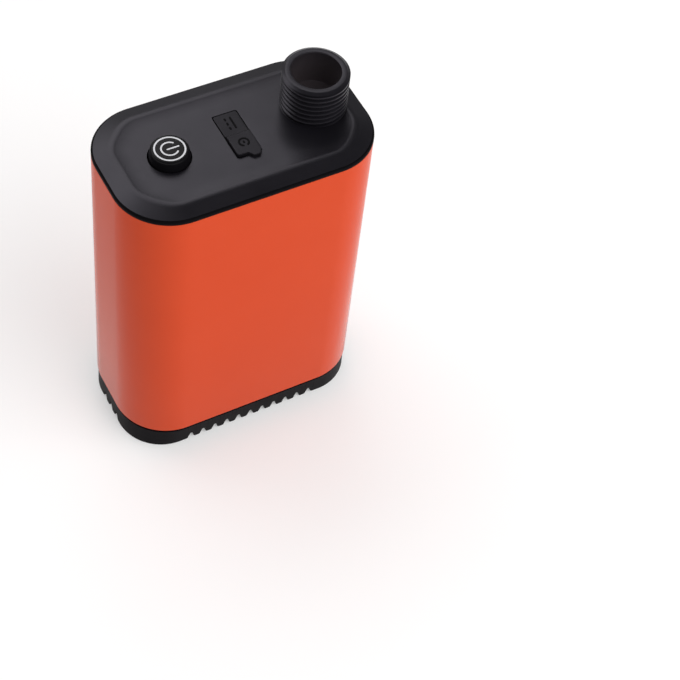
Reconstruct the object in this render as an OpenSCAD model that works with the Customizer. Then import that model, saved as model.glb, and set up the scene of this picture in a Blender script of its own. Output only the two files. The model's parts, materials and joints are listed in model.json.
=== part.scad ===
// Camp shower pump: a flat, upright battery pump that stands in a bucket of water.
// Water enters under the notched base, the impeller turns just above it, and the riser takes the water
// to the threaded spigot on the cap. Cells, motor and board are in the dry space above the bulkhead.
// Millimetres, +Z up. The origin is on the ground under the middle of the base, +X points to the
// spigot's end and -Y to the front.

/* [Body sleeve] */
// Width of the body, end to end
body_w = 85.4; // [80:0.2:110]
// Depth of the body, front to back
body_d = 48.6; // [46:0.2:60]
// Outer corner radius of the body
body_r = 18; // [15:0.5:20]
// Wall of the sleeve
sleeve_wall = 2; // [1.6:0.1:2.4]
// Length of the sleeve between base and cap
sleeve_h = 106.2; // [100:0.2:140]

/* [Base] */
// Height of the base under the sleeve
base_h = 9.5; // [8.5:0.1:14]
// Step from the sleeve's face in to the top of the base
base_reveal = 0.4; // [0.2:0.1:0.8]
// How far the long sides lean in from the top of the base to the foot
foot_lean = 1.1; // [0:0.1:1.4]
// Corner radius of the foot
foot_r = 15.6; // [12:0.2:17]
// Inset of the hollow under the base, from the sleeve's face
base_wall = 3.2; // [2.8:0.1:4.5]
// Thickness of the base plate
plate_t = 2; // [1.6:0.1:3]
// Height of the intake notches
notch_h = 3.1; // [2:0.1:4]
// Width of a notch at the foot
notch_foot_w = 2.4; // [1.6:0.1:3.2]
// Width of a notch at its top
notch_top_w = 0.7; // [0.4:0.1:1.4]
// Distance from notch to notch
notch_pitch = 4.5; // [4:0.1:7]
// Room between the notches and the base plate
notch_roof = 1.5; // [1:0.1:2]
// Width of a slot of the intake grille
slot_w = 2; // [1.4:0.1:2.6]
// Distance from slot to slot
slot_pitch = 3.6; // [3.2:0.1:5]
// Radius of the intake grille
grille_r = 11.6; // [9:0.2:12]

/* [Cap] */
// Thickness of the cap's edge over the sleeve
edge_t = 1.3; // [0.8:0.1:2]
// Rise of the rim from the edge to the ridge
rim_rise = 1.6; // [0.8:0.05:2.5]
// Distance from the edge in to the ridge
rim_in = 5.6; // [4:0.1:6.5]
// Width of the dish from the ridge in to the flat floor
dish_w = 4.8; // [3:0.1:6]
// Depth of the floor below the ridge
dish_depth = 0.4; // [0.2:0.05:0.8]
// Depth that the cap's panel plugs into the sleeve
panel_tuck = 0.3; // [0.2:0.1:1.2]
// Depth of the skirt inside the sleeve
skirt_h = 8; // [7:0.5:10]
// Wall of the skirt
skirt_wall = 1.8; // [1.6:0.1:2.2]

/* [Outlet] */
// Outer diameter of the pipe thread
thread_d = 20.955; // [18:0.001:22]
// Height of the spigot above the cap's floor
spigot_h = 14; // [11:0.5:18]
// Diameter of the spigot's bore
spigot_bore = 15.5; // [14.4:0.1:16]
// Depth of the spigot's wide bore
spigot_bore_depth = 12.2; // [9:0.2:12.6]
// Chamfer at the spigot's mouth
spigot_lead = 0.9; // [0.5:0.1:1.2]
// Distance from the thread to the end of the body
outlet_edge = 3.98; // [2.8:0.02:6]
// Offset of the spigot from the middle, towards the back
outlet_y = 2.7; // [0:0.1:5]
// Diameter of the spigot's tail below the cap's floor
tail_d = 15.4; // [14.8:0.1:16.4]
// Length of the tail below the cap's floor
tail_h = 14; // [12:0.5:16]
// Outer diameter of the riser pipe
riser_d = 12; // [10.8:0.1:12.4]
// Wall of the riser pipe
riser_wall = 1.8; // [1.6:0.1:2]
// How deep the riser sits in the socket at each end
riser_seat = 6; // [5:0.5:7]

/* [Power button] */
// Distance from the body's end to the button's axis
button_edge = 21.2; // [19:0.1:26]
// Offset of the button from the middle, towards the back
button_y = 0; // [-3:0.05:3]
// Diameter of the button at the cap's floor
button_d = 12.8; // [11:0.1:15]
// Diameter of the button's top
button_top_d = 12; // [10:0.1:13]
// Height of the button above the cap's floor
button_h = 3.4; // [2.5:0.1:5]
// Round on the button's top edge
button_round = 0.8; // [0.4:0.1:1]
// Travel of the button
button_travel = 0.8; // [0.4:0.1:1]

/* [Charging port] */
// Offset of the port from the middle, towards the spigot
port_x = 1; // [-2:0.05:4]
// Width of the rubber cover
flap_w = 7.9; // [7:0.1:10]
// Length of the cover's free front half
flap_len = 9.2; // [8:0.1:11]
// Length of the cover's fixed rear half
anchor_len = 8.7; // [7:0.1:10]
// Place of the fold between the two halves
fold_y = 0.55; // [-2:0.05:2]
// Depth of the pocket that holds the cover
pocket_depth = 0.8; // [0.5:0.05:1]
// Height of the free half above the cap's floor
flap_proud = 0.9; // [0.7:0.05:1.4]
// Length of the pull tab past the pocket
tab_len = 1.7; // [1:0.1:2.4]
// Diameter of the plug under the cover
plug_d = 5.4; // [4.6:0.1:5.8]
// Length of that plug
plug_h = 1.2; // [0.8:0.1:1.6]

/* [Pump] */
// Radius of the impeller
impeller_r = 11; // [9.5:0.1:11.4]
// Number of impeller blades
blades = 6; // [4:1:8]
// Thickness of a blade
blade_t = 1.2; // [0.9:0.1:1.6]
// Radius of the eye in the suction cover
eye_r = 5; // [4:0.1:6]
// Height of the pump chamber
chamber_h = 5; // [4.6:0.1:7]
// Room between the impeller and the walls of its chamber
impeller_gap = 0.7; // [0.5:0.05:0.9]
// Radius of the scroll at its tongue
tongue_r = 12; // [11.8:0.1:12.4]
// Growth of the scroll in one turn
scroll_growth = 2.6; // [2:0.1:3]
// Wall of the scroll and its duct
scroll_wall = 1.8; // [1.5:0.1:2]
// Width of the duct from the scroll to the riser
duct_w = 7; // [6:0.1:8]
// Thickness of the suction cover
cover_t = 3.2; // [2.8:0.1:4]
// Thickness of the strainer
strainer_t = 0.8; // [0.5:0.1:1.2]
// Thickness of the bulkhead between the wet and the dry side
bulkhead_t = 5; // [4.4:0.1:7]

/* [Motor] */
// Diameter of the motor's can
motor_d = 27.7; // [24:0.1:28.4]
// Length of the motor's can
motor_h = 33; // [28:0.5:38]
// Diameter of the motor's shaft
shaft_d = 2.3; // [2:0.1:3]
// Distance between the motor's fixing screws
motor_screw_pitch = 16; // [15:0.1:17]
// Diameter of the shaft seal
seal_d = 9; // [8:0.1:10]

/* [Cells and board] */
// Diameter of a cell
cell_d = 18.4; // [18:0.1:18.6]
// Length of a cell
cell_h = 65; // [60:0.5:70]
// Web of the cradle between the two cells
cell_web = 1.4; // [1:0.1:1.8]
// Wall of the cradle where a cell comes nearest to the sleeve
cradle_wall = 2; // [1.8:0.1:2.2]
// Distance from the cap's floor down to the board
board_drop = 12.2; // [11.6:0.1:14]
// Thickness of the board
board_t = 1.6; // [1:0.1:2]

/* [Fits] */
// Gap between a plug-in part and its wall
fit_gap = 0.15; // [0.1:0.01:0.2]
// Gap round the moving button
button_gap = 0.25; // [0.2:0.01:0.35]
// Radial gap round the turning shaft
run_gap = 0.05; // [0.03:0.01:0.08]
// Gap round a screw
screw_gap = 0.06; // [0.04:0.01:0.1]
// Gap round the rubber cover in its pocket
flap_gap = 0.25; // [0.2:0.01:0.4]

/* [Hidden] */

$fn = 64;
cut = 1;          // how far a cutting solid runs past the face that it cuts
skin = 0.02;      // thickness of a slice that a loft starts from

// Colours
orange = "#dc5a3c";
black_plastic = "#37363a";
rubber = "#2c2c2e";
seal_rubber = "#a33b2c";
white_plastic = "#d9d8d2";
steel = "#b4b6b8";
brass = "#b99a4f";
cell_wrap = "#3f6f9f";
board_green = "#2f6b45";
lead_red = "#b3261e";

// Levels, from the ground up
plate_z = notch_h + notch_roof;
plate_top = plate_z + plate_t;
cover_z = plate_top + strainer_t;
chamber_z = cover_z + cover_t;
bulkhead_z = chamber_z + chamber_h;
dry_z = bulkhead_z + bulkhead_t;
sleeve_top = base_h + sleeve_h;
edge_z = sleeve_top + edge_t;
ridge_z = edge_z + rim_rise;
floor_z = ridge_z - dish_depth;
panel_z = sleeve_top - panel_tuck;
board_top = floor_z - board_drop;
board_z = board_top - board_t;

// Insets of the rings, from the sleeve's outer face
inner_in = sleeve_wall + fit_gap;
lip_wall = 1.6;
lip_in = inner_in + lip_wall;
half_w = body_w / 2;
half_d = body_d / 2;
corner_x = half_w - body_r;
corner_y = half_d - body_r;

// Outlet and riser
thread_r = thread_d / 2;
outlet_x = half_w - thread_r - outlet_edge;
outlet = [outlet_x, outlet_y];
mouth_z = floor_z + spigot_h;
lead_h = 2 * spigot_lead;               // height of the chamfer at the mouth
thread_z = ridge_z + fit_gap;           // the thread starts clear of the rim
collar_step = 0.2;                      // collar under the thread's crests
tail_r = tail_d / 2;
riser_r = riser_d / 2;
riser_bore_r = riser_r - riser_wall;
socket_wall = 1.5;
socket_r = riser_r + fit_gap + socket_wall;
socket_floor = 2;                       // from the bulkhead's top up to the riser's lower end
riser_z = dry_z + socket_floor;
tail_z = floor_z - tail_h;
riser_top = tail_z + riser_seat;
riser_ring_levels = [riser_z + riser_seat / 2, riser_top - riser_seat / 2];
oring_groove = 1.1;                     // depth of an O-ring's groove
oring_slack = 0.02;                     // gap between an O-ring and the walls that it seals
oring_r = (oring_groove + fit_gap) / 2 - oring_slack;
oring_room = 0.15;                      // side room of an O-ring in its groove
nut_h = 3;
nut_wall = 0.8;                         // least wall of the nut, at the middle of a flat
nut_flats = tail_d + 2 * nut_wall;

// Cells and cradle: each cell sits in a corner of the sleeve
cell_r = cell_d / 2;
cell_gap = 0.3;
pocket_r = cell_r + cell_gap;
cell_y = pocket_r + cell_web / 2;
corner_room = body_r - sleeve_wall - cell_r - cradle_wall;
cell_x = -corner_x - sqrt(max(0, pow(corner_room, 2) - pow(cell_y - corner_y, 2)));
cells = [[cell_x, -cell_y], [cell_x, cell_y]];
cradle_gap = 0.4;                       // between the cradle and the sleeve
cradle_in = sleeve_wall + cradle_gap;
cradle_rim = 2.9;                       // from a cell's pocket to the cradle's edge at the motor
cradle_edge = cell_x + pocket_r + cradle_rim;
cradle_floor = 2.4;
cradle_short = 2;                       // from the cradle's top up to the cells' shoulders
link_t = 0.3;
strip_w = 7;
cell_z = dry_z + cradle_floor + link_t;
cell_cap_h = 1;
cell_top = cell_z + cell_h + cell_cap_h;
cup_h = 16;                             // height of the cradle's lower and upper cups
spine_w = 10;

// Tie screws
tie_r = 1.5;
tie_head_r = 2.8;
tie_head_h = 2;
tie_boss_r = 3.6;
tie_in = 5;                             // from the sleeve's inner face to a tie's axis
tie_y = half_d - sleeve_wall - tie_in;
tie_web = 1.3;                          // wall between a cell's pocket and the tie beside it
tie_reach = pocket_r + tie_r + tie_web;
tie_left_x = cell_x + sqrt(max(0, pow(tie_reach, 2) - pow(tie_y - cell_y, 2)));
tie_grip = 6;                           // length of thread in the cap's boss
tie_boss_h = 10.8;

// Motor and impeller: midway between the cradle and the riser's socket
motor_r = motor_d / 2;
scroll_max_r = tongue_r + scroll_growth;
scroll_room = 0.65;
motor_x = (cradle_edge + outlet_x - socket_r) / 2;
motor_y = -(half_d - lip_in - scroll_max_r - scroll_wall - scroll_room);
axis_xy = [motor_x, motor_y];
shaft_r = shaft_d / 2;
hub_r = 3.2;
impeller_z = chamber_z + impeller_gap;
impeller_top = bulkhead_z - impeller_gap;
impeller_plate_t = 1;
hub_rise = 0.3;                         // hub above the impeller's plate
blade_drop = 0.2;                       // hub below the blades
blade_tip = 0.3;                        // plate past the blades' tips
tie_past_motor = 14.3;                  // from the motor's axis to the ties between motor and riser
tie_right_x = motor_x + tie_past_motor;
ties = [[tie_left_x, tie_y], [tie_left_x, -tie_y], [tie_right_x, tie_y], [tie_right_x, -tie_y]];
boss_r = 4.9;                           // nose of the motor that centres it in the bulkhead
boss_h = 2;
bell_h = 3;
bell_step = 0.6;                        // from the can's face in to the end bell
bell_bevel = 1.4;                       // width of the bevel on the end bell's edge
shaft_end = 1;                          // from the end bell's face down to the shaft's end
terminal_h = 4;
bell_top = dry_z + motor_h + bell_h;
motor_screw_r = 1.25;
motor_screw_head_r = 2.3;
motor_screw_sink = 1.4;
motor_screw_bite = 4;
motor_screw_places = [for (s = [-1, 1]) axis_xy + [s * motor_screw_pitch / 2, 0]];
seal_z = dry_z - boss_h - fit_gap;      // top of the shaft seal's seat
terminal_out = 5.5;                     // from the motor's axis to a terminal
terminal_places = [for (s = [-1, 1]) axis_xy + [s * terminal_out, 0]];
terminal_w = 2.2;
terminal_t = 0.5;

// Duct: its outer wall runs on from the end of the scroll, and its middle ends under the riser
duct_offset = scroll_max_r - duct_w / 2;
duct_span = norm(outlet - axis_xy);
duct_angle = atan2(outlet_y - motor_y, outlet_x - motor_x) - asin(duct_offset / duct_span);
duct_len = sqrt(pow(duct_span, 2) - pow(duct_offset, 2));
duct_end_room = 0.8;                    // widening of the well under the riser
duct_end_r = riser_bore_r + duct_end_room;
scroll_steps = 40;
// The scroll's radius at an angle from the duct's direction: it grows clockwise, up to 90 degrees
function scroll_r(a) = scroll_max_r - scroll_growth * ((a + 630) % 360) / 360;

// Screws of the suction cover, on ears round the scroll
ear_r = 2.8;
cover_screw_r = 1.1;
cover_head_r = 2;
cover_head_h = 1.4;
cover_screw_bite = 4;
ear_out = 0.8;                          // from the scroll's outer face to the middle of an ear
ear_angles = [120, 200, 340];
ears = concat(
    [for (a = ear_angles) axis_xy + (scroll_r(a - duct_angle) + scroll_wall + ear_out) * [cos(a), sin(a)]],
    [outlet + [0, -(duct_end_r + scroll_wall + ear_out)]]
);

// Screws of the base, in bosses under the bulkhead
base_screw_r = 1.5;
base_head_r = 2.8;
base_head_h = 1.8;
base_boss_r = 3.5;
base_screw_bite = 7;
base_screw_out = [6, 6.5];              // from the centre of a corner's arc to the screw in it
base_screw_at = [corner_x, corner_y] + base_screw_out;
base_screw_places = [for (sx = [-1, 1], sy = [-1, 1]) [sx * base_screw_at[0], sy * base_screw_at[1]]];

// Strainer
strainer_rim = 1.4;                     // strainer past the grille's slots
strainer_r = grille_r + strainer_rim;
strainer_ledge = 0.9;                   // seat of the strainer under the suction cover
mesh_hole_r = 0.9;
mesh_pitch = 2.9;
mesh_rim = 0.8;                         // least wall outside the last ring of holes
mesh_rings = floor((strainer_r - mesh_hole_r - mesh_rim) / mesh_pitch);
inlet_r = strainer_r - strainer_ledge;
inlet_depth = 1.6;

// Board, switch and jack
board_end_gap = 4;                      // between the board's end and the sleeve
board_past_port = 11;                   // board past the charging port's axis
board_side_gap = 1.2;                   // between the board and the bosses of the ties
board_x0 = -(half_w - sleeve_wall - board_end_gap);
board_x1 = port_x + board_past_port;
board_half_d = tie_y - tie_boss_r - board_side_gap;
board_screw_r = 1;
board_head_r = 1.9;
board_head_h = 1.5;
board_screw_bite = 4.5;
post_r = 2.8;
post_in = 3.4;                          // from the board's edges to the posts that carry it
posts = [for (x = [board_x0 + post_in, board_x1 - post_in], s = [-1, 1]) [x, s * (board_half_d - post_in)]];
chip_size = [5, 4, 1.4];
coil_size = [6, 6, 2.6];
chip_out = 8.5;                         // from the button's axis to the chip and the coil
chip_in = 2;                            // from the board's edge to them
button_x = -(half_w - button_edge);
button = [button_x, button_y];
button_r = button_d / 2;
collar_out = 1.2;                       // collar past the button, which keeps it in the cap
collar_r = button_r + collar_out;
collar_h = 1.1;
part_gap = 0.3;                         // between parts that stand over each other under the cap
collar_z = panel_z - part_gap - collar_h;
stem_r = 2.5;
well_gap = 0.4;                         // round the collar in its well
well_r = collar_r + well_gap;
well_wall = 1.8;
boot_t = 1.4;
boot_top = collar_z - button_travel - part_gap;
switch_w = 6;
switch_h = 3.5;
plunger_r = 1.7;
plunger_stand = 1.2;                    // plunger above the switch's top
plunger_in = 1;                         // plunger inside the switch
switch_top = board_top + switch_h;
stem_z = switch_top + plunger_stand;
jack_w = 9;
jack_r = 2.9;
jack_top = panel_z - part_gap;
jack_depth = 7.6;
jack_pin_r = 1;
jack_pin_h = 6.4;

// Rubber cover
flap_lift = 0.1;                        // free half above the pocket's bottom, and fixed half above the floor
pocket_z = floor_z - pocket_depth;
flap_bottom = pocket_z + flap_lift;
flap_top = floor_z + flap_proud;
anchor_top = floor_z + flap_lift;
flap_front = fold_y - flap_len;
anchor_back = fold_y + anchor_len;
fold_gap = 0.5;
plug_out = 4.7;                         // from the fold to the port's axis
plug_y = fold_y - plug_out;
plug_r = plug_d / 2;
plug_gap = 0.5;                         // round the plug in its hole, to swing clear
port_hole_r = plug_r + plug_gap;
plug_z = flap_bottom - plug_h;
anchor_stem_r = 1.6;
anchor_head_r = 2.5;
anchor_head_h = 1.2;
stem_out = 5;                           // from the fold to the stem of the fixed half
anchor_stem_y = fold_y + stem_out;
tab_w = 4.45;                           // width of the pull tab where it leaves the cover
tab_right = port_x + flap_w / 2;        // the tab is on the cover's right half
tab_left = tab_right - tab_w;
tab_slant = 1.2;
tab_lift = 0.15;

// Leads
lead_r = 0.8;
lead_straight = 2.5;                    // straight stretch at each end of a lead
lead_pitch = 4;                         // between the motor's leads at the board
lead_in = 3;                            // from the board's edges to the motor's leads
cell_lead_y = 6.5;                      // from the middle to where a cell's lead meets the board

// Seals in grooves
seal_w = 2;
seal_depth = 1.1;
seal_side = 0.1;
casing_groove_z = bulkhead_z + (bulkhead_t - seal_w) / 2;
cap_groove_up = 2;                      // from the skirt's lower edge to its groove
cap_groove_z = panel_z - skirt_h + cap_groove_up;

// Rounded rectangle about the middle
module rounded_rect(w, d, r) {
    square([w - 2 * r, d], center = true);
    square([w, d - 2 * r], center = true);
    for (sx = [-1, 1], sy = [-1, 1])
        translate([sx * (w / 2 - r), sy * (d / 2 - r)]) circle(r);
}

// The body's outline, moved in from the sleeve's outer face
module outline(inset) {
    rounded_rect(body_w - 2 * inset, body_d - 2 * inset, body_r - inset);
}

// A closed ring of the body's outline
module outline_ring(outer_in, wall) {
    difference() {
        outline(outer_in);
        outline(outer_in + wall);
    }
}

// A prism of a flat shape between two levels
module prism(z0, z1) {
    translate([0, 0, z0]) linear_extrude(z1 - z0) children();
}

// Carries a profile round the body's outline. In the profile, x is the distance from the centre of the
// corner arcs, so the sleeve's outer face is at x = body_r, and y is the height.
module around() {
    for (turn = [0:3]) {
        sx = turn == 0 || turn == 3 ? 1 : -1;
        sy = turn < 2 ? 1 : -1;
        long_side = turn % 2 == 1;
        translate([sx * corner_x, sy * corner_y, 0])
            rotate([0, 0, turn * 90])
                rotate_extrude(angle = 90) children();
        rotate([0, 0, turn * 90])
            translate([long_side ? corner_y : corner_x, 0, 0])
                rotate([90, 0, 0])
                    linear_extrude(2 * (long_side ? corner_x : corner_y), center = true) children();
    }
}

// A pin between two levels at a place in the plan
module post(place, r, z0, z1) {
    translate([place[0], place[1], z0]) cylinder(h = z1 - z0, r = r);
}

// A screw that points up: pan head below z, shank of the given length above it
module screw(place, z, head_r, head_h, shank_r, length) {
    bevel = 0.4 * head_h;
    post(place, shank_r, z, z + length);
    post(place, head_r, z - head_h + bevel, z);
    translate([place[0], place[1], z - head_h]) cylinder(h = bevel, r1 = head_r - bevel, r2 = head_r);
}

// Base

module base_skin() {
    hull() {
        prism(base_h - skin, base_h) outline(base_reveal);
        prism(0, skin)
            rounded_rect(body_w - 2 * base_reveal, body_d - 2 * (base_reveal + foot_lean), foot_r);
    }
}

// One intake notch, cut through both walls along Y
module notch() {
    flare = (notch_foot_w - notch_top_w) / 2 / notch_h;
    half_low = notch_foot_w / 2 + flare * cut;
    rotate([90, 0, 0])
        linear_extrude(2 * max(body_w, body_d), center = true)
            polygon([
                [-half_low, -cut], [half_low, -cut],
                [notch_top_w / 2, notch_h], [-notch_top_w / 2, notch_h]
            ]);
}

// Notches that fit in a straight stretch, spread about its middle
module notch_row(straight) {
    last = floor((straight - notch_foot_w) / notch_pitch);
    for (i = [0:last]) translate([(i - last / 2) * notch_pitch, 0, 0]) notch();
}

module grille_slots() {
    last = floor(2 * (grille_r - slot_w) / slot_pitch);
    intersection() {
        circle(grille_r);
        for (i = [0:last])
            translate([(i - last / 2) * slot_pitch, 0]) square([slot_w, 2 * grille_r], center = true);
    }
}

module base_shell() {
    color(black_plastic)
    difference() {
        union() {
            difference() {
                base_skin($fn = 48);
                prism(-cut, plate_z) outline(base_wall);
                prism(plate_top, base_h + cut) outline(lip_in);
            }
            prism(plate_top, bulkhead_z) outline_ring(inner_in, lip_wall);
        }
        notch_row(2 * corner_x);
        rotate([0, 0, 90]) notch_row(2 * corner_y);
        translate([motor_x, motor_y, plate_z - cut]) linear_extrude(plate_t + 2 * cut) grille_slots();
        for (p = base_screw_places) post(p, base_screw_r + screw_gap, plate_z - cut, plate_top + cut);
    }
}

module base_screws() {
    color(steel)
    for (p = base_screw_places)
        screw(p, plate_z, base_head_r, base_head_h, base_screw_r, plate_t + base_screw_bite);
}

// Strainer: a disc with holes in rings
module intake_strainer() {
    color(steel)
    translate([motor_x, motor_y, plate_top])
        linear_extrude(strainer_t)
            difference() {
                circle(strainer_r);
                circle(mesh_hole_r, $fn = 16);
                for (ring = [1:mesh_rings], i = [0:6 * ring - 1])
                    rotate(60 * i / ring) translate([ring * mesh_pitch, 0]) circle(mesh_hole_r, $fn = 16);
            }
}

// Pump chamber

// Scroll and duct in plan, turned so that the duct runs along X: the outline starts at the tongue, goes
// clockwise round the scroll to its widest place at 90 degrees and leaves along the duct
module scroll_plan(wall) {
    tongue_a = asin((duct_offset - duct_w / 2 - wall) / (tongue_r + wall));
    sweep = 270 + tongue_a;
    polygon(concat(
        [for (i = [0:scroll_steps])
            let (a = tongue_a - sweep * i / scroll_steps, r = scroll_r(a) + wall)
                r * [cos(a), sin(a)]],
        [for (s = [1, -1]) [duct_len, duct_offset + s * (duct_w / 2 + wall)]]
    ));
}

// The water's way between two levels: scroll, duct and the well under the riser
module waterway(wall, z0, z1) {
    translate([motor_x, motor_y, 0]) rotate([0, 0, duct_angle]) prism(z0, z1) scroll_plan(wall);
    post(outlet, duct_end_r + wall, z0, z1);
}

module casing_block(z0, z1) {
    waterway(scroll_wall, z0, z1);
    for (e = ears) post(e, ear_r, z0, z1);
}

module suction_cover() {
    color(black_plastic)
    difference() {
        union() casing_block(cover_z, chamber_z);
        post(axis_xy, eye_r, cover_z - cut, chamber_z + cut);
        post(axis_xy, inlet_r, cover_z - cut, cover_z + inlet_depth);
        for (p = base_screw_places) post(p, base_boss_r + fit_gap, cover_z - cut, chamber_z + cut);
        for (e = ears) {
            post(e, cover_screw_r + screw_gap, cover_z - cut, chamber_z + cut);
            post(e, cover_head_r + screw_gap, cover_z - cut, cover_z + cover_head_h);
        }
    }
}

module cover_screws() {
    color(steel)
    for (e = ears)
        screw(e, cover_z + cover_head_h, cover_head_r, cover_head_h, cover_screw_r,
            cover_t - cover_head_h + cover_screw_bite);
}

module pump_casing() {
    color(black_plastic)
    difference() {
        union() {
            prism(bulkhead_z, dry_z) outline(inner_in);
            difference() {
                casing_block(chamber_z - cut, bulkhead_z + cut);
                prism(chamber_z - 2 * cut, chamber_z) outline(0);
            }
            post(outlet, socket_r, dry_z, riser_z + riser_seat);
            for (p = base_screw_places) post(p, base_boss_r, plate_top, bulkhead_z + cut);
        }
        waterway(0, chamber_z - cut, bulkhead_z);
        post(outlet, riser_bore_r, bulkhead_z - cut, riser_z + cut);
        post(outlet, riser_r + fit_gap, riser_z, riser_z + riser_seat + cut);
        post(axis_xy, seal_d / 2, bulkhead_z - cut, seal_z);
        post(axis_xy, boss_r + fit_gap, seal_z, dry_z + cut);
        for (p = motor_screw_places) {
            post(p, motor_screw_r + screw_gap, bulkhead_z - cut, dry_z + cut);
            post(p, motor_screw_head_r + screw_gap, bulkhead_z - cut, bulkhead_z + motor_screw_sink);
        }
        for (p = ties) post(p, tie_r + screw_gap, bulkhead_z - cut, dry_z + cut);
        for (p = base_screw_places)
            post(p, base_screw_r + screw_gap, plate_top - cut, plate_top + base_screw_bite + screw_gap);
        for (e = ears)
            post(e, cover_screw_r + screw_gap, chamber_z - cut, chamber_z + cover_screw_bite + screw_gap);
        seal_groove(casing_groove_z);
    }
}

// A groove for a seal ring, with its lower edge at z
module seal_groove(z) {
    around() translate([body_r - inner_in - seal_depth, z]) square([seal_depth + cut, seal_w]);
}

// The seal ring in that groove
module groove_seal(z) {
    color(seal_rubber)
    around()
        translate([body_r - inner_in - seal_depth + screw_gap, z + seal_side])
            square([seal_depth + fit_gap - 2 * screw_gap, seal_w - 2 * seal_side]);
}

module casing_seal() {
    groove_seal(casing_groove_z);
}

// Impeller: a back plate with curved blades that trail as it turns clockwise seen from above
module blade() {
    bend_r = 0.8 * impeller_r;
    intersection() {
        difference() {
            circle(impeller_r - blade_tip);
            circle(hub_r - blade_t / 2);
        }
        translate([-bend_r, 0])
            difference() {
                circle(bend_r + blade_t / 2);
                circle(bend_r - blade_t / 2);
            }
        translate([-impeller_r, 0]) square(2 * impeller_r);
    }
}

module impeller() {
    color(white_plastic)
    translate([motor_x, motor_y, 0])
        difference() {
            union() {
                prism(impeller_top - impeller_plate_t, impeller_top) circle(impeller_r);
                prism(impeller_z, impeller_top + hub_rise) circle(hub_r);
                for (i = [0:blades - 1])
                    rotate([0, 0, 360 * i / blades])
                        prism(impeller_z + blade_drop, impeller_top - impeller_plate_t / 2) blade();
            }
            prism(impeller_z - cut, bulkhead_z) circle(shaft_r + run_gap / 2);
        }
}

// Motor

module motor_shaft() {
    color(steel) post(axis_xy, shaft_r, impeller_z, bell_top - shaft_end);
}

module shaft_seal() {
    color(seal_rubber)
    difference() {
        post(axis_xy, seal_d / 2 - screw_gap, bulkhead_z + screw_gap, seal_z - screw_gap);
        post(axis_xy, shaft_r + run_gap, bulkhead_z - cut, dry_z);
    }
}

module motor_can() {
    color(steel)
    difference() {
        union() {
            post(axis_xy, motor_r, dry_z, dry_z + motor_h);
            post(axis_xy, boss_r, dry_z - boss_h, dry_z);
        }
        post(axis_xy, shaft_r + run_gap, dry_z - boss_h - cut, dry_z + motor_h + cut);
        for (p = motor_screw_places)
            post(p, motor_screw_r + screw_gap, dry_z - cut, dry_z + motor_screw_bite + screw_gap);
    }
}

module motor_end_bell() {
    bell_r = motor_r - bell_step;
    bore_r = shaft_r + run_gap;
    color(black_plastic)
    translate([motor_x, motor_y, dry_z + motor_h])
        rotate_extrude()
            polygon([
                [bore_r, 0], [bell_r, 0], [bell_r, bell_h - bell_bevel],
                [bell_r - bell_bevel, bell_h], [bore_r, bell_h]
            ]);
}

module motor_terminals() {
    color(brass)
    for (p = terminal_places)
        translate([p[0], p[1], bell_top + terminal_h / 2])
            cube([terminal_t, terminal_w, terminal_h], center = true);
}

module motor_screws() {
    color(steel)
    for (p = motor_screw_places)
        screw(p, bulkhead_z + motor_screw_sink, motor_screw_head_r, motor_screw_sink, motor_screw_r,
            bulkhead_t - motor_screw_sink + motor_screw_bite);
}

// Riser

module riser_pipe() {
    color(white_plastic)
    difference() {
        post(outlet, riser_r, riser_z, riser_top);
        post(outlet, riser_bore_r, riser_z - cut, riser_top + cut);
        for (z = riser_ring_levels) ring_groove(riser_r, z);
    }
}

// A square groove round the outside of a pipe at the outlet's axis
module ring_groove(r, z) {
    half = oring_r + oring_room;
    translate([outlet[0], outlet[1], z - half])
        rotate_extrude() translate([r - oring_groove, 0]) square([oring_groove + cut, 2 * half]);
}

module groove_oring(r, z) {
    translate([outlet[0], outlet[1], z])
        rotate_extrude() translate([r - oring_groove + (oring_groove + fit_gap) / 2, 0]) circle(oring_r);
}

module riser_seals() {
    color(seal_rubber)
    for (z = riser_ring_levels) groove_oring(riser_r, z);
}

// Cells

module cradle_plan() {
    difference() {
        intersection() {
            outline(cradle_in);
            union() {
                translate([-body_w, -body_d]) square([body_w + cradle_edge, 2 * body_d]);
                for (p = ties) if (p[0] < 0) translate(p) circle(tie_boss_r);
            }
        }
        for (p = ties) translate(p) circle(tie_r + 4 * screw_gap);
    }
}

module cradle_pockets() {
    difference() {
        cradle_plan();
        for (c = cells) translate(c) circle(pocket_r);
    }
}

module battery_cradle() {
    cup_floor = dry_z + cradle_floor;
    top = cell_z + cell_h - cradle_short;
    color(white_plastic) {
        prism(dry_z, cup_floor) cradle_plan();
        difference() {
            prism(cup_floor, cup_floor + cup_h) cradle_pockets();
            translate([cell_x - strip_w / 2 - cell_gap, -cell_y, cup_floor])
                cube([strip_w + 2 * cell_gap, 2 * cell_y, 2 * link_t]);
        }
        prism(cup_floor + cup_h, top - cup_h)
            intersection() {
                cradle_pockets();
                translate([-body_w, -spine_w / 2]) square([2 * body_w, spine_w]);
            }
        prism(top - cup_h, top) cradle_pockets();
    }
}

// A round cell with its crimp groove and its raised pole
module battery_cell(place) {
    edge = 0.5;
    crimp_z = cell_h - 4;
    crimp_w = 1.2;
    pole_r = 3;
    color(cell_wrap)
    translate([place[0], place[1], cell_z])
        rotate_extrude()
            polygon([
                [0, 0], [cell_r - edge, 0], [cell_r, edge],
                [cell_r, crimp_z], [cell_r - edge, crimp_z + crimp_w / 2], [cell_r, crimp_z + crimp_w],
                [cell_r, cell_h - edge], [cell_r - edge, cell_h], [pole_r, cell_h],
                [pole_r, cell_h + cell_cap_h], [0, cell_h + cell_cap_h]
            ]);
}

module battery_cell_front() {
    battery_cell(cells[0]);
}

module battery_cell_rear() {
    battery_cell(cells[1]);
}

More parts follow.
